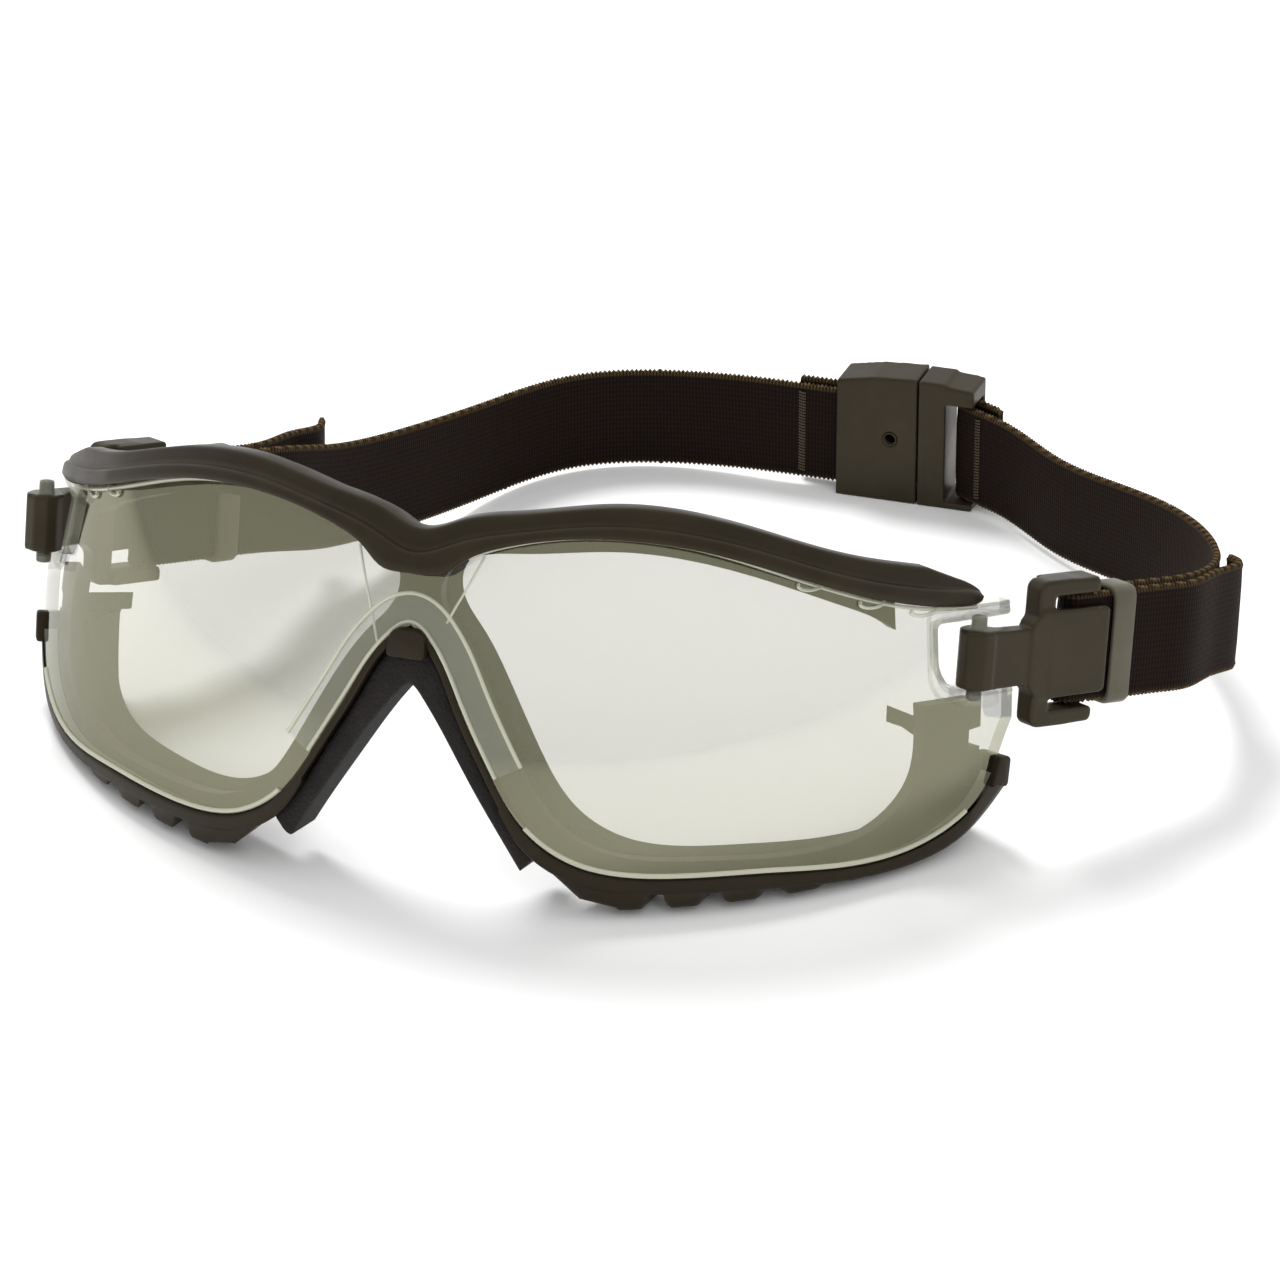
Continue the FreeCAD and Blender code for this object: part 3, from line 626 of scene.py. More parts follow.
def make_lens_trim():
    """Beads along the edges, crease lines and locating lugs of the lens, in a pale cream that is a
    painted highlight, and its clear nose channel.
    """
    shell = Shell()
    for side in (1, -1):
        x = np.linspace(8.0, 78.0, 150) * side
        tube(shell, skin(x, brow_lip(x) - 0.3, 0.2), 0.36)
        x = np.linspace(20.5, 79.5, 150) * side
        tube(shell, skin(x, lens_low(x) + 0.35, 0.05), 0.42)
    nose = smooth(mirrored(NOSE_LINE), 121)
    for distance, radius in ((0.5, 0.34), (4.9, 0.36)):
        p = shifted(nose, distance)
        tube(shell, skin(p[:, 0], p[:, 1], 0.1), radius)
    for crease in (CREASE, CREASE_RIGHT):
        p = smooth(crease, 24)
        tube(shell, skin(p[:, 0], p[:, 1], 0.02), 0.22)
    for x in LUGS:
        turn = np.linspace(math.radians(-20), math.radians(200), 15)
        z = brow_lip(x) - 0.5
        tube(shell, skin(x + 1.5 * np.cos(turn), z - 0.8 * np.sin(turn), 0.3), 0.3)
    shell.make("lens_beads", [EDGE_HIGHLIGHT])
    channel = Shell()
    strip(channel, shifted(nose, 0.6), shifted(nose, 4.8), 0.45, 0.02, 0.2)
    channel.make("lens_nose_channel", [CLEAR])


def make_socket(side):
    """Clear hinge socket: two ears and the double rim of the notch."""
    shell = Shell()
    end, start = LENS_R * LENS_END, LENS_R * SOCKET_ANGLE
    low, high = SOCKET_LOW, SOCKET_HIGH
    for inset, radius in ((-0.6, 0.45), (-1.9, 0.34)):
        rim = rounded([(end - 0.2, low + inset), (start + SLOPE_X + inset, low + inset),
                       (start + inset, low + SLOPE_Z + inset), (start + inset, high - inset),
                       (end - 0.2, high - inset)], [0, 1.6, 1.6, 1.2, 0])
        rim = np.array(rim)
        tube(shell, radial(side * rim[:, 0], rim[:, 1], 0.15), radius)
    hinge = hinge_local(side)
    turn = circle(28)

    def ring(radius, z):
        return to_row(np.stack([hinge[0] + radius * np.cos(turn), hinge[1] + radius * np.sin(turn),
                                np.full_like(turn, z)], 1))
    for z0 in (low - EAR_T, high):
        levels = ((z0 + 0.05, -0.35), (z0 + 0.4, 0), (z0 + EAR_T - 0.4, 0), (z0 + EAR_T - 0.05, -0.35))
        outer = [ring(EAR_R + grow, z) for z, grow in levels]
        inner = [ring(PEG_R + 0.1 - grow * 0.3, z) for z, grow in levels]
        shell.loft(np.array(outer + inner[::-1]), ring=True)
    shell.make("lens_socket_" + SIDE_NAME[side], [CLEAR], sharp=50)


# ---- brow ----
BROW_END, SHELF_DEPTH = 61.2, 4.6


def brow_section(angle):
    """Section of the brow bar: a forward lip, a hollow ledge, a ridge and a rear shelf."""
    x = reach(58.0) * math.sin(angle)
    top, lip, ledge, shelf = (float(line(x)) for line in (brow_top, brow_lip, brow_ledge, brow_shelf))
    degrees = abs(math.degrees(angle))
    deep = -LENS_T - 0.2 - SHELF_DEPTH * ease(degrees, 51.0, 49.0)
    thin = ease(degrees, 42.0, BROW_END)
    top -= 0.8 * ease(degrees, 54.0, BROW_END) * (top - ledge)
    shelf = min(shelf, top)
    nose = 3.7 - 2.1 * thin
    face = 1.6 - 0.8 * thin
    line = [(0.15, lip + 0.1), (nose - 0.9, lip), (nose - 0.3, lip + 0.12),
            (nose - 0.05, lip + 0.45),
            (nose, 0.5 * (lip + ledge)), (nose - 0.05, ledge - 0.5), (nose - 0.3, ledge - 0.15),
            (nose - 0.7, ledge - 0.02), (0.5 * (nose + face) - 0.15, ledge - 0.05),
            (face + 0.1, ledge + 0.12 * (top - ledge)), (face, ledge + 0.3 * (top - ledge)),
            (face, ledge + 0.8 * (top - ledge)), (face - 0.15, ledge + 0.94 * (top - ledge)),
            (face - 0.6, top),
            (-1.6, top), (-2.0, top - 0.15), (-2.15, max(top - 0.6, shelf)), (-2.3, shelf),
            (deep + 0.8, shelf - 0.05), (deep + 0.2, shelf - 0.3), (deep, shelf - 0.9),
            (deep, lip + 0.9), (deep + 0.3, lip + 0.3), (deep + 1.0, lip), (-0.9, lip)]
    rest = ease(degrees, BROW_END, BROW_END - 2.5)
    grow = max(0.08, math.sqrt(1 - (1 - rest) ** 2))
    off = np.array([o for o, _ in line])
    off = np.where(off > 0.4, 0.4 + (off - 0.4) * (0.3 + 0.7 * grow), off)
    middle = lip + 0.45 * (top - lip)
    z = middle + (np.array([v for _, v in line]) - middle) * grow
    r = reach(z, off)
    return to_row(np.stack([r * math.sin(angle), AXIS_Y - r * math.cos(angle), z], 1))


def make_brow():
    shell = Shell()
    half = math.radians(BROW_END)
    shell.loft(np.array([brow_section(angle) for angle in np.linspace(-half, half, 221)]))
    piece = shell.make("brow_bar_moulding", [BROW], sharp=50)
    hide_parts("brow_bar")


# ---- carriage ----
CARRIAGE_FRONT, CARRIAGE_BACK = -2.35, -4.9
RAIL_FRONT, RAIL_BACK = 0.3, -9.0
SIDE_NOTCHES = (21.5, 28.0)
RAIL_DROP, RAIL_CLEAR, TOOTH_RAKE = 0.1, 1.3, 1.6
# Middle, width at the foot, and how far the nose-side and outer slopes run.
TEETH = [(36.3, 4.2, 13.0, 0.9), (44.0, 4.6, 0.9, 0.9), (52.0, 4.6, 0.9, 0.9),
         (60.0, 4.6, 0.9, 0.9), (67.6, 4.2, 0.9, 7.0)]


def carriage_half():
    """Edge of the carriage wall: the lens' outline, notched at the side and the hinge."""
    low, high = edge_arcs()
    end, hinge_room, arm = (LENS_R * math.radians(angle) for angle in (62.5, 51.0, 54.0))
    side = [edge_corner(low, end)]
    for z in SIDE_NOTCHES:
        side += [(end, z - 1.6), (end - 2.6, z - 1.3), (end - 2.6, z + 1.3), (end, z + 1.6)]
    side += [(end, 34.2), (arm, 34.2), (hinge_room + 2.5, 34.6), (hinge_room, 35.8),
             edge_corner(high, hinge_room)]
    return half_outline(low, end, side, high, hinge_room)


def eye_loop(side):
    loop = smooth(EYE_OPENING, 150, closed=True)
    return np.stack([side * arc_of(loop[:, 0], loop[:, 1]), loop[:, 1]], 1)


def floor_height(y):
    """Height of the table in the upright frame at depth y."""
    return (FLOOR + y * math.sin(TILT)) / math.cos(TILT)


def on_rail(x, z, off):
    """As skin, but kept over the table and inside the sides of the lens."""
    limit = reach(z, off) * math.sin(LENS_END)
    x = np.clip(x, -limit, limit)
    y = AXIS_Y - np.sqrt(reach(z, off) ** 2 - x ** 2)
    return skin(x, np.maximum(z, floor_height(y) + RAIL_CLEAR), off)


def add_tooth(shell, x, width, inner_run, outer_run, side):
    half = width / 2
    outline = [(-half - inner_run, 4.6), (-half - 0.4 * inner_run, 1.9), (-half + 0.1, 0.7),
               (-half + 0.5, 0.22), (-half + 1.1, 0.0), (half - 1.1, 0.0), (half - 0.5, 0.22),
               (half - 0.1, 0.7), (half + 0.4 * outer_run, 1.9), (half + outer_run, 4.6)]
    sections = []
    for off, inset in ((0.25, 0.75), (0.05, 0.25), (-0.4, 0.0),
                       (-8.3, 0.0), (-8.75, 0.25), (-8.95, 0.75)):
        rake = TOOTH_RAKE * (off - RAIL_BACK) / (RAIL_FRONT - RAIL_BACK)
        points = []
        for dx, lift in outline:
            px = x + dx * (1 - inset / half)
            y = AXIS_Y - math.sqrt(float(reach(4.0, off)) ** 2 - px ** 2)
            low = floor_height(y)
            root = float(rail_low(px)) + 0.8
            share = ease(lift, 0.0, 4.6)
            z = low + inset + (root - low - inset) * share
            y = AXIS_Y - math.sqrt(float(reach(z, off)) ** 2 - px ** 2)
            z = max(z, floor_height(y) + 0.02 + inset)
            z += rake * (1 - share)
            points.append((side * px, y, z))
        sections.append(to_row(points))
    shell.loft(sections)


def make_carriage():
    shell = Shell()
    plate(shell, [both_sides(carriage_half()), eye_loop(1), eye_loop(-1)], 2.4, radial,
          CARRIAGE_FRONT, CARRIAGE_BACK, (0, 0, 0))
    for side in (1, -1):
        low, high = smooth(RAIL_LOWER, 110), smooth(RAIL_UPPER, 110)
        low[:, 1] -= RAIL_DROP * np.clip((74.0 - low[:, 0]) / 8.0, 0, 1)
        strip(shell, low * (side, 1), high * (side, 1), RAIL_FRONT, RAIL_BACK, 0.7, on_rail)
        for x, width, inner_run, outer_run in TEETH:
            add_tooth(shell, x, width, inner_run, outer_run, side)
        hook = rounded([(side * 100.6, 20.2), (side * 104.2, 20.0), (side * 104.4, 25.0),
                        (side * 101.8, 25.2)], 0.7)
        tablet(shell, hook, 1.3, -4.5, 0.45, radial)
    seat = smooth(mirrored(NOSE_SEAT), 81)
    strip(shell, seat, shifted(seat, 1.2), RAIL_FRONT, RAIL_BACK, 0.35)
    tab = rounded([(-3.3, 40.2), (3.3, 40.2), (2.9, 43.9), (1.7, 44.8), (-1.7, 44.8), (-2.9, 43.9)],
                  0.9)
    tablet(shell, tab, 1.5, -2.9, 0.5)
    piece = shell.make("carriage_moulding", [FRAME])
    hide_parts("carriage")


# ---- foams ----
def make_nose_foam():
    shell = Shell()
    inner, outer = smooth(mirrored(NOSE_NOTCH), 91), smooth(mirrored(NOSE_SEAT), 91)
    outer[:, 1] -= 0.15
    strip(shell, inner, outer, -1.4, -14.0, 1.6, steps=4)
    piece = shell.make("nose_foam_pad", [FOAM])
    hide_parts("nose_foam")


FOAM_FRONT, FOAM_BACK = -5.0, -12.5
EYE_CENTRE = np.array([44.0, 35.0])
FOAM_START, FOAM_SWEEP = math.radians(40.0), math.radians(316.0)


def foam_lines():
    """Inner and outer line of one face foam, from the temple's top round the nose."""
    loop = smooth(EYE_OPENING, 220, closed=True)
    turn = np.arctan2(loop[:, 1] - EYE_CENTRE[1], loop[:, 0] - EYE_CENTRE[0])
    turn = np.mod(turn - FOAM_START, 2 * math.pi)
    order = np.argsort(turn)
    loop = loop[order][turn[order] < FOAM_SWEEP]
    inner = loop.copy()
    inner[:, 0] = np.minimum(inner[:, 0], 71.0)
    outer = EYE_CENTRE + (loop - EYE_CENTRE) * (1.17, 1.2)
    nose = smooth(NOSE_SEAT, 60)
    x = outer[:, 0]
    outer[:, 1] = np.minimum(outer[:, 1], lens_high(x) - 0.3)
    low = np.where(x < 22.4, np.interp(x, nose[:, 0], nose[:, 1]) + 1.9, rail_high(x) + 0.5)
    outer[:, 1] = np.maximum(outer[:, 1], low)
    outer[:, 0] = np.maximum(outer[:, 0], 1.4)
    return inner, outer


def make_face_foam(side):
    inner, outer = foam_lines()
    shell = Shell()
    sections = []
    for k, (a, b) in enumerate(zip(inner, outer)):
        width = max(np.linalg.norm(b - a), 0.6)
        share = bar_section(width, FOAM_FRONT - FOAM_BACK, 1.3, 4)
        close = min(1.0, math.sqrt(min(k, len(inner) - 1 - k) / 6 + 0.02))
        share = 0.5 + (share - 0.5) * (close, 1)
        p = a + (b - a) * share[:, :1]
        off = FOAM_FRONT + (FOAM_BACK - FOAM_FRONT) * share[:, 1]
        limit = np.sin(np.radians(np.interp(p[:, 1], (26.0, 29.0), (63.5, 55.0))))
        x = np.minimum(p[:, 0], limit * reach(p[:, 1], off))
        section = skin(side * x, p[:, 1], off)
        section[:, 2] = np.maximum(section[:, 2], 0.4 * MM)
        sections.append(section)
    shell.loft(sections)
    piece = shell.make("face_foam_pad_" + SIDE_NAME[side], [FOAM])
    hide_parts("face_foam_" + SIDE_NAME[side])


# ---- mouldings ----
FUSE_VOXEL, FUSE_PASSES = 0.28, 5


def fused(name, blocks, place, materials, body):
    """Joins closed blocks, in mm in a part's own frame, into one softly rounded moulding."""
    shell = Shell()
    for block in blocks:
        shell.loft(block)
    mesh = bpy.data.meshes.new(name + "_blocks")
    mesh.from_pydata(shell.points, [], shell.faces)
    outward(mesh)
    rough = bpy.data.objects.new(name + "_blocks", mesh)
    bpy.context.scene.collection.objects.link(rough)
    remesh = rough.modifiers.new("fuse", "REMESH")
    remesh.mode = "VOXEL"
    remesh.voxel_size = FUSE_VOXEL
    relax = rough.modifiers.new("relax", "SMOOTH")
    relax.factor = 0.5
    relax.iterations = FUSE_PASSES
    graph = bpy.context.evaluated_depsgraph_get()
    result = bpy.data.meshes.new_from_object(rough.evaluated_get(graph))
    bpy.data.objects.remove(rough)
    co = np.zeros(len(result.vertices) * 3)
    result.vertices.foreach_get("co", co)
    result.vertices.foreach_set("co", place(co.reshape(-1, 3)).ravel())
    result.materials.clear()
    outward(result)
    result.name = name
    return finish(name, result, materials, body, 75)


def block(outline, low, high, axis="z"):
    """Prism of an outline; axis z stands it up, axis y lays (x, z) outlines through y."""
    line = np.asarray(outline, float)
    out = []
    for level in (low, high):
        rest = np.full(len(line), level)
        if axis == "z":
            out.append(np.stack([line[:, 0], line[:, 1], rest], 1))
        else:
            out.append(np.stack([line[:, 0], rest, line[:, 1]], 1))
    return np.array(out)


def rect(x0, x1, y0, y1):
    return [(x0, y0), (x1, y0), (x1, y1), (x0, y1)]


def disc(x, y, r, count=24):
    return [(x + r * math.cos(a), y + r * math.sin(a))
            for a in circle(count)]


def clip_to_row(side):
    heading = CLIP_HEADING[side]
    hinge = hinge_local(side)

    def place(points):
        p = np.asarray(points, float)
        x, y = p[:, 0], p[:, 1] * side
        turned = np.stack([x * math.cos(heading) - y * math.sin(heading),
                           x * math.sin(heading) + y * math.cos(heading), p[:, 2]], 1)
        return to_row(turned + hinge)
    return place


def make_clip(side):
    """T-shaped strap clip: barrel, tapered arm, rounded head, recessed rails, centre plate."""
    barrel = [(-3.1, -1.2), (-2.2, -2.5), (-0.8, -3.1), (1.0, -3.1), (2.6, -2.2), (3.1, 0.2),
              (2.2, 2.2), (0.2, 3.1), (-1.8, 2.6), (-3.0, 1.0)]
    arm = rounded([(-1.5, -4.8), (10.5, -4.5), (10.5, 4.5), (-1.5, 4.8)], 0.9)
    head = rounded([(9.9, -12.0), (17.0, -12.0), (22.5, -11.6), (22.5, -9.3), (13.4, -9.3),
                    (13.4, 9.3), (22.5, 9.3), (22.5, 11.6), (17.0, 12.0), (9.9, 12.0)],
                   [2.0, 0.6, 0.9, 0.8, 0.4, 0.4, 0.8, 0.9, 0.6, 2.0])
    cheek = rounded([(8.6, -5.0), (10.6, -7.2), (13.0, -7.2), (13.0, 7.2), (10.6, 7.2), (8.6, 5.0)],
                    0.8)
    plate_edge = rounded([(12.6, -7.3), (24.4, -7.0), (24.4, 7.0), (12.6, 7.3)], 0.8)
    rails = [rounded([(12.8, s * 9.5), (22.4, s * 9.5), (22.4, s * 11.9), (12.8, s * 11.9)], 0.4)
             for s in (-1, 1)]
    blocks = [block(barrel, -4.75, 4.75), block(disc(0, 0, PEG_R), -6.9, 6.9),
              block(arm, -2.9, 0.35, "y"), block(head, -2.75, 1.1, "y"),
              block(cheek, -3.15, 0.6, "y"), block(plate_edge, -3.2, -1.9, "y"),
              block(disc(CLIP_BAR, BAR_Y, 0.85, 16), -11.0, 11.0)]
    blocks += [block(rail, -2.3, 2.35, "y") for rail in rails]
    name = SIDE_NAME[side]
    piece = fused("clip_moulding_" + name, blocks, clip_to_row(side), [CLIP], name + "_clip")
    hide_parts("clip_" + name)


def make_keeper(side):
    """Rounded rectangular band that holds both layers of the strap together."""
    wide, high, wall, length = 3.15, 9.8, 1.05, 4.3
    at = 25.8 if side > 0 else 32.6
    outer = np.array(rounded([(-wide - 0.5, -high), (wide + 0.5, -high), (wide + 0.5, high),
                              (-wide - 0.5, high)], 2.3, 8))
    profile = [(0.0, -0.38), (0.12, -0.1), (0.45, 0.0), (length - 0.45, 0.0), (length - 0.12, -0.1),
               (length, -0.38), (length, -0.75), (length - 0.3, -wall), (0.3, -wall), (0.0, -0.75)]
    rings = []
    for x, grow in profile:
        scale = 1 + np.array([grow / (wide + 0.5), grow / high])
        p = outer * scale
        rings.append(np.stack([np.full(len(p), at + x), p[:, 0] + BAR_Y, p[:, 1]], 1))
    shell = Shell()
    place = clip_to_row(side)
    shell.loft(np.array([place(ring) for ring in rings]), ring=True)
    name = SIDE_NAME[side]
    piece = shell.make("keeper_band_" + name, [KEEPER], name + "_keeper", sharp=60)
    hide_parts("keeper_" + name)


# ---- buckle ----
def buckle_place(points):
    return to_row(np.asarray(points, float), upright=False)


SPLIT = BUCKLE_X + HOUSING_L
BUCKLE_END = SPLIT + TONGUE_L
BUCKLE_TOP, BUCKLE_CENTRE = FLOOR + BUCKLE_H, FLOOR + BUCKLE_H / 2
SLOT_LOW, SLOT_HIGH = BUCKLE_MID - 9.3, BUCKLE_MID + 9.3
WINDOW = BUCKLE_X + 5.3
BAR_R, BAR_IN = 0.85, 1.7
RELEASE_X, RELEASE_R = BUCKLE_X + 10, 1.3


def through(outline, near=-BUCKLE_D / 2, far=BUCKLE_D / 2):
    """Block of an (x, z) outline between two depths from the buckle's middle."""
    return block(outline, BUCKLE_Y + near, BUCKLE_Y + far, "y")


def half_front(up, top_left, top_right):
    """Upper or lower half of the housing's front face, cut round the release hole."""
    seam = BUCKLE_CENTRE - 0.4 * up
    arc = np.radians(np.linspace(180, 0, 15))
    hole = [(RELEASE_X + RELEASE_R * math.cos(a), BUCKLE_CENTRE + up * RELEASE_R * math.sin(a))
            for a in arc]
    return ([(BUCKLE_X, seam), (RELEASE_X - RELEASE_R, seam)] + hole
            + [(RELEASE_X + RELEASE_R, seam), (SPLIT, seam), (SPLIT, top_right), (BUCKLE_X, top_left)])


def make_buckle():
    top = BUCKLE_TOP
    # Housing: two faces with a cavity between them, a strap window at the rear and its bar.
    rear_face = rounded([(WINDOW, FLOOR), (SPLIT, FLOOR), (SPLIT, top - 0.15), (WINDOW, top - 0.9)],
                        [0.2, 0.3, 0.5, 0.4])
    blocks = [through(rear_face, 2.25),
              through(rect(WINDOW, WINDOW + 1.4, FLOOR, top - 0.9), -3.4, 3.4),
              through([(BUCKLE_X, SLOT_HIGH), (SPLIT, SLOT_HIGH + 1.6), (SPLIT, top),
                       (SPLIT - 8, top - 0.5), (BUCKLE_X, top - 1.8)]),
              through(rect(BUCKLE_X, SPLIT, FLOOR, SLOT_LOW - 0.1)),
              through(rect(WINDOW, SPLIT, FLOOR, FLOOR + 2.3)),
              block(disc(BUCKLE_X + BAR_IN, BUCKLE_Y, BAR_R, 16), FLOOR + 0.6, top - 2.4)]
    for up, top_left, top_right in ((1, top - 1.8, top - 0.15), (-1, FLOOR, FLOOR)):
        blocks.append(through(half_front(up, top_left, top_right), far=-2.6))
    piece = fused("buckle_housing_shell", blocks, buckle_place, [BUCKLE], "front")
    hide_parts("buckle_housing")
    # Release hole: a thin rim round its edge.
    rim = Shell()
    turn = circle(28)
    rings = []
    for r, y in ((1.25, -0.02), (1.15, -0.1), (1.0, -0.02), (0.95, 0.9), (1.2, 0.9)):
        rings.append(buckle_place(np.stack([RELEASE_X + r * np.cos(turn),
                                            np.full(28, BUCKLE_Y - BUCKLE_D / 2 + y),
                                            BUCKLE_CENTRE + r * np.sin(turn)], 1)))
    rim.loft(np.array(rings), ring=True)
    rim.make("buckle_release_rim", [BUCKLE])
    # Tongue: end block with its window and bar, two prongs and the spring blade.
    near = SPLIT + 0.25
    blocks = [through(rect(near, BUCKLE_END - 5.2, FLOOR, top - 0.15)),
              through([(near, SLOT_HIGH), (BUCKLE_END, SLOT_HIGH), (BUCKLE_END, top - 1.0),
                       (near, top - 0.1)]),
              through(rect(near, BUCKLE_END, FLOOR, SLOT_LOW - 0.1)),
              through(rect(BUCKLE_END - 1.1, BUCKLE_END, FLOOR, top - 1.0), BUCKLE_D / 2 - 1.0),
              block(disc(BUCKLE_END - BAR_IN, BUCKLE_Y, BAR_R, 16), FLOOR + 0.6, top - 1.6)]
    for z in (BUCKLE_CENTRE - 8.7, BUCKLE_CENTRE + 5.7):
        prong = rounded(rect(BUCKLE_X + 7.2, SPLIT + 1, z, z + 3.0), [1.2, 0, 0, 1.2])
        blocks.append(through(prong, -1.9, 1.9))
    blade = rect(BUCKLE_X + 7.8, SPLIT + 1, BUCKLE_CENTRE - 3.6, BUCKLE_CENTRE + 3.6)
    blocks += [through(blade, -1.0, 0.9), through(disc(RELEASE_X, BUCKLE_CENTRE, 1.0, 20), -1.9, -0.9)]
    piece = fused("buckle_tongue_moulding", blocks, buckle_place, [BUCKLE], "tongue")
    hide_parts("buckle_tongue")


# ---- straps ----
PICOT = 0.8
STEP = PICOT / 2
SEWN = {1: 9.0, -1: 13.0}


def clip_line(side, x, y):
    """Points on the webbing behind a clip, in the clip's own frame, to the standing frame."""
    p = np.stack([np.asarray(x, float), np.asarray(y, float), np.zeros(len(x))], 1)
    return clip_to_row(side)(p) / MM + ORIGIN


def buckle_line(side, x, y):
    heading = math.radians(-30.0 if side > 0 else 180.0)
    bar_x = BUCKLE_X + BAR_IN if side < 0 else BUCKLE_END - BAR_IN
    x, y = np.asarray(x, float), np.asarray(y, float)
    return np.stack([bar_x + x * math.cos(heading) - y * math.sin(heading),
                     BUCKLE_Y + x * math.sin(heading) + y * math.cos(heading),
                     np.full(len(x), BUCKLE_MID)], 1)


def strap_path(side):
    """Centre line and lean of the whole strap, from the free tail to the sewn end."""
    run = RIGHT_RUN if side > 0 else LEFT_RUN
    tail = RIGHT_TAIL if side > 0 else LEFT_TAIL
    sewn = SEWN[side]
    legs = np.arange(CLIP_BAR, LEG + 0.1, 4.5)
    outer = clip_line(side, legs, np.full(len(legs), BAR_Y - LOOP_MID))
    inner = clip_line(side, legs, np.full(len(legs), BAR_Y + LOOP_MID))
    turn = np.radians(np.linspace(-90, -270, 13))[1:-1]
    bend = clip_line(side, CLIP_BAR + LOOP_MID * np.cos(turn), BAR_Y + LOOP_MID * np.sin(turn))
    tilt = math.degrees(TILT)

    def leaning(points, lean):
        return np.hstack([points, np.full((len(points), 1), lean)])
    near = -side * LOOP_MID
    long_leg = buckle_line(side, [sewn, sewn / 2, 0.0], [near] * 3)
    turn = np.radians(np.linspace(-90 * side, -90 * side - 180 * side, 13))[1:-1]
    fold = buckle_line(side, LOOP_MID * np.cos(turn), LOOP_MID * np.sin(turn))
    short_leg = buckle_line(side, [0.0, (sewn - 3) / 2, sewn - 3], [-near] * 3)
    first = np.vstack([np.array(tail[::-1], float), leaning(outer[::-1], tilt)])
    second = np.vstack([leaning(inner, tilt), np.array(run, float), leaning(long_leg, 0.0)])
    third = leaning(short_leg, 0.0)

    def dense(points):
        length = np.sum(np.linalg.norm(np.diff(points[:, :3], axis=0), axis=1))
        return smooth(points, int(length / STEP))
    parts = [dense(first), leaning(bend, tilt), dense(second), leaning(fold, 0.0), dense(third)]
    return np.vstack(parts), len(parts[0]) + len(bend)


def ribbon(shell, path, start):
    """Webbing along a path, with picot edges; start is the length before its first point."""
    p, lean = path[:, :3], np.radians(path[:, 3])
    way = headings(p)
    across = np.stack([np.zeros(len(p)), np.sin(lean), np.cos(lean)], 1)
    across -= way * np.sum(across * way, axis=1)[:, None]
    across /= np.linalg.norm(across, axis=1)[:, None]
    normal = np.cross(way, across)
    along = start + np.concatenate([[0], np.cumsum(np.linalg.norm(np.diff(p, axis=0), axis=1))])
    half_w, half_t = STRAP_W / 2, STRAP_T / 2
    profile = [(-1, -0.45), (-0.93, -0.95), (-0.86, -0.8), (-0.5, -0.98), (0, -1), (0.5, -0.98),
               (0.86, -0.8), (0.93, -0.95), (1, -0.45), (1, 0.45), (0.93, 0.95), (0.86, 0.8),
               (0.5, 0.98), (0, 1), (-0.5, 0.98), (-0.86, 0.8), (-0.93, 0.95), (-1, 0.45)]
    sections, uv = [], []
    for i in range(len(p)):
        picot = 0.22 * (1 if int(round(along[i] / STEP)) % 2 else -1)
        points = []
        for a, b in profile:
            width = a * (half_w + (picot - 0.1 if abs(a) == 1 else 0.0))
            points.append(p[i] + across[i] * width + normal[i] * b * half_t)
        sections.append(points)
        uv.append([(along[i] * MM, a * half_w * MM) for a, _ in profile])
    shell.loft(to_row(np.array(sections), upright=False), uv=np.array(uv))
    return along[-1]


def webbing(name, path, length, start, end, node_name):
    """One stretch of strap, as one fixed mesh."""
    shell = Shell()
    length = ribbon(shell, path, length)
    piece = shell.make(name, [WEB], None, sharp=60)
    tuple(start)
    tuple(end)
    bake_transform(piece)
    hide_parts(node_name)
    return length


def make_strap(side):
    path, leg_start = strap_path(side)
    far = to_row(path[:, :3], upright=False)
    leg_end = leg_start + int((LEG - CLIP_BAR) / STEP)
    if side < 0:
        webbing("strap_webbing_left", path, 0.0, far[leg_end + 90], far[leg_end],
                "strap_left")
        return
    middle = leg_end + int(48 / STEP)
    length = webbing("strap_webbing_right", path[:middle + 1], 0.0,
                     far[middle - 10], far[leg_end], "strap_right")
    webbing("strap_webbing_back", path[middle:], length, far[middle + 12], far[-45],
            "strap_right")


def make_seam(side):
    """Bar tack: a column of short stitches over both layers of the fold."""
    sewn = SEWN[side]
    shell = Shell()
    surface = LOOP_R + STRAP_T + 0.02
    for z in np.arange(-7.4, 7.5, 0.55):
        for face in (-1, 1):
            x = np.linspace(sewn - 5.1, sewn - 3.9, 7)
            lift = surface + 0.12 * np.sin(np.linspace(0, math.pi, 7))
            line = buckle_line(side, x, face * lift)
            line[:, 2] += z + np.linspace(-0.12, 0.12, 7)
            tube(shell, to_row(line, upright=False), 0.17, sides=6)
    name = SIDE_NAME[side]
    piece = shell.make("seam_stitches_" + name, [THREAD], "tongue" if side > 0 else "front")
    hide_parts("seam_" + name)


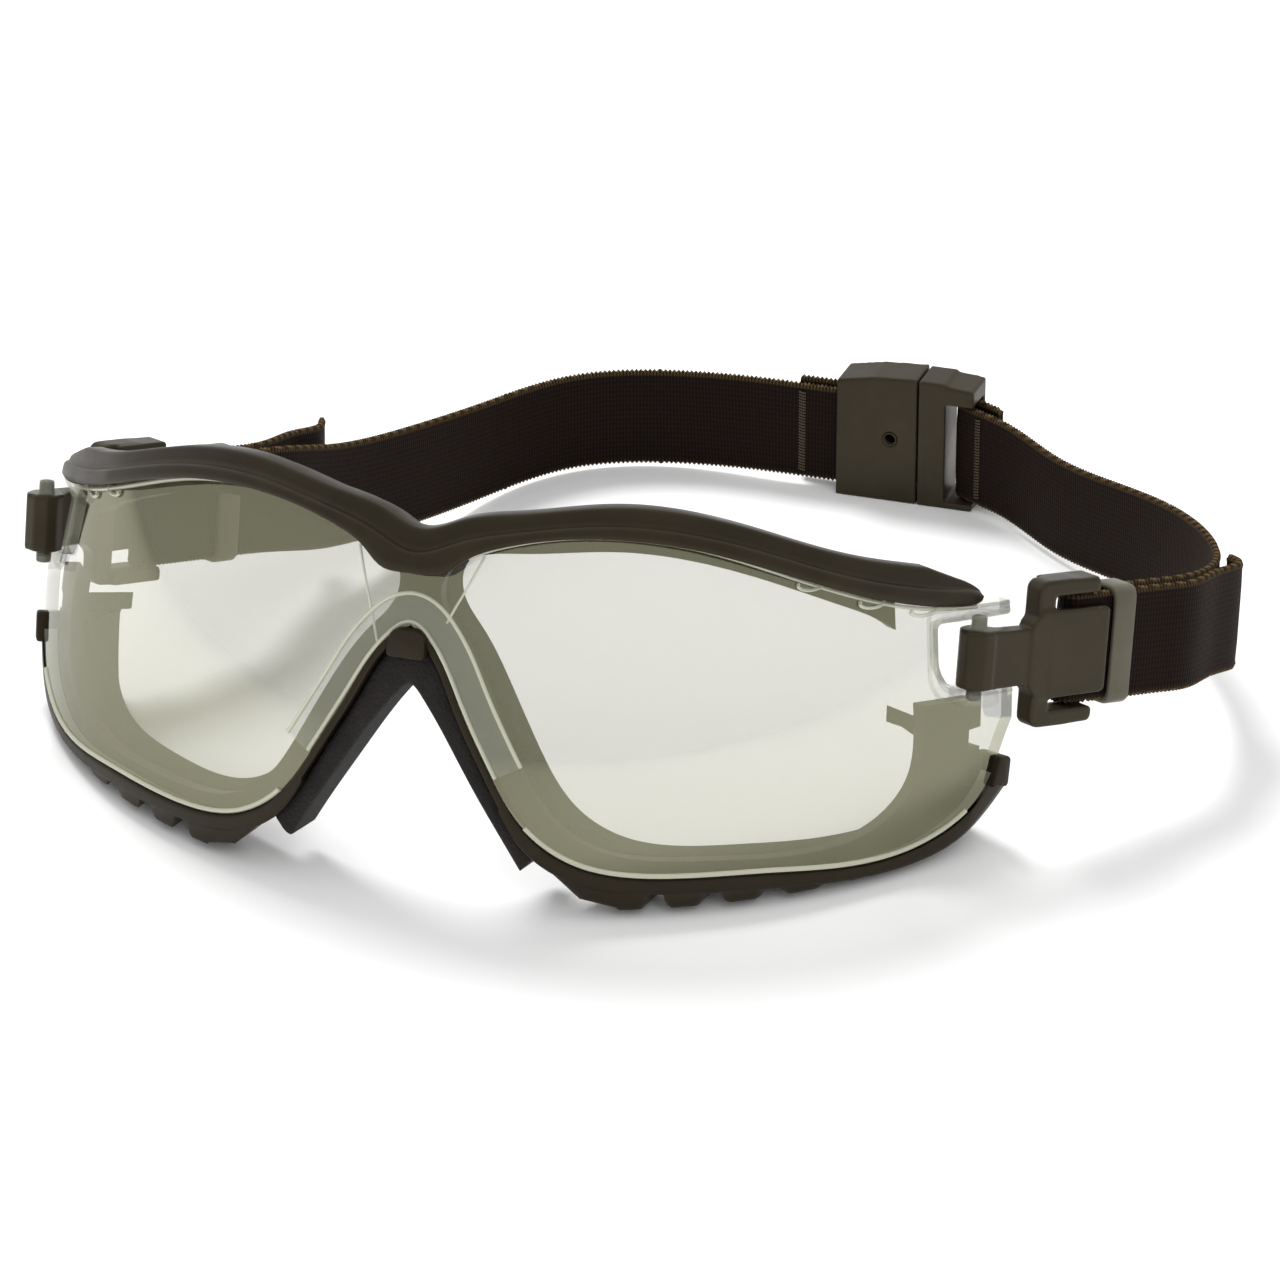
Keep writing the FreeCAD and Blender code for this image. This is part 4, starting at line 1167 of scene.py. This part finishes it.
# ---- scene ----
def make_stage():
    size = 3.0
    mesh = bpy.data.meshes.new("floor")
    mesh.from_pydata([(-size, -size, 0), (size, -size, 0), (size, size, 0), (-size, size, 0)], [],
                     [(0, 1, 2, 3)])
    floor = bpy.data.objects.new("floor", mesh)
    m = material("pale_floor", (0.93, 0.93, 0.93), 0.6)
    mesh.materials.append(m)
    bpy.context.scene.collection.objects.link(floor)
    world = bpy.data.worlds.new("studio")
    world.use_nodes = True
    world.node_tree.nodes["Background"].inputs[0].default_value = (1.0, 1.0, 1.0, 1)
    world.node_tree.nodes["Background"].inputs[1].default_value = 0.85
    bpy.context.scene.world = world
    bpy.context.scene.view_settings.view_transform = "Standard"


def area_light(name, at, target, size, power):
    lamp = bpy.data.lights.new(name, "AREA")
    lamp.shape = "DISK"
    lamp.size = size
    lamp.energy = power
    light = bpy.data.objects.new(name, lamp)
    light.location = at
    light.rotation_euler = (Vector(target) - Vector(at)).to_track_quat("-Z", "Y").to_euler()
    light.visible_glossy = False
    bpy.context.scene.collection.objects.link(light)


CAMERA_TARGET = (41.731, 0.0, 52.859)


def make_camera():
    """Camera that looks down on the front from its right."""
    azimuth, elevation, distance = math.radians(19.113), math.radians(25.38), 1.00007
    target = Vector(to_row(CAMERA_TARGET, upright=False))
    back = Vector((math.sin(azimuth) * math.cos(elevation), -math.cos(azimuth) * math.cos(elevation),
                   math.sin(elevation)))
    data = bpy.data.cameras.new("camera")
    data.lens = 185.96
    data.sensor_width = 36.0
    camera = bpy.data.objects.new("camera", data)
    camera.location = target + back * distance
    camera.rotation_euler = (-back).to_track_quat("-Z", "Y").to_euler()
    bpy.context.scene.collection.objects.link(camera)
    bpy.context.scene.camera = camera


make_camera()
make_stage()
area_light("key", (-0.5, 0.55, 1.1), (0, 0, 0.02), 0.5, 14.0)
area_light("fill", (0.6, -1.0, 0.9), (0, 0, 0.03), 0.8, 4.0)
make_lens()
make_lens_trim()
make_brow()
make_carriage()
make_nose_foam()
make_buckle()
for side in (-1, 1):
    make_socket(side)
    make_face_foam(side)
    make_clip(side)
    make_keeper(side)
    make_strap(side)
    make_seam(side)
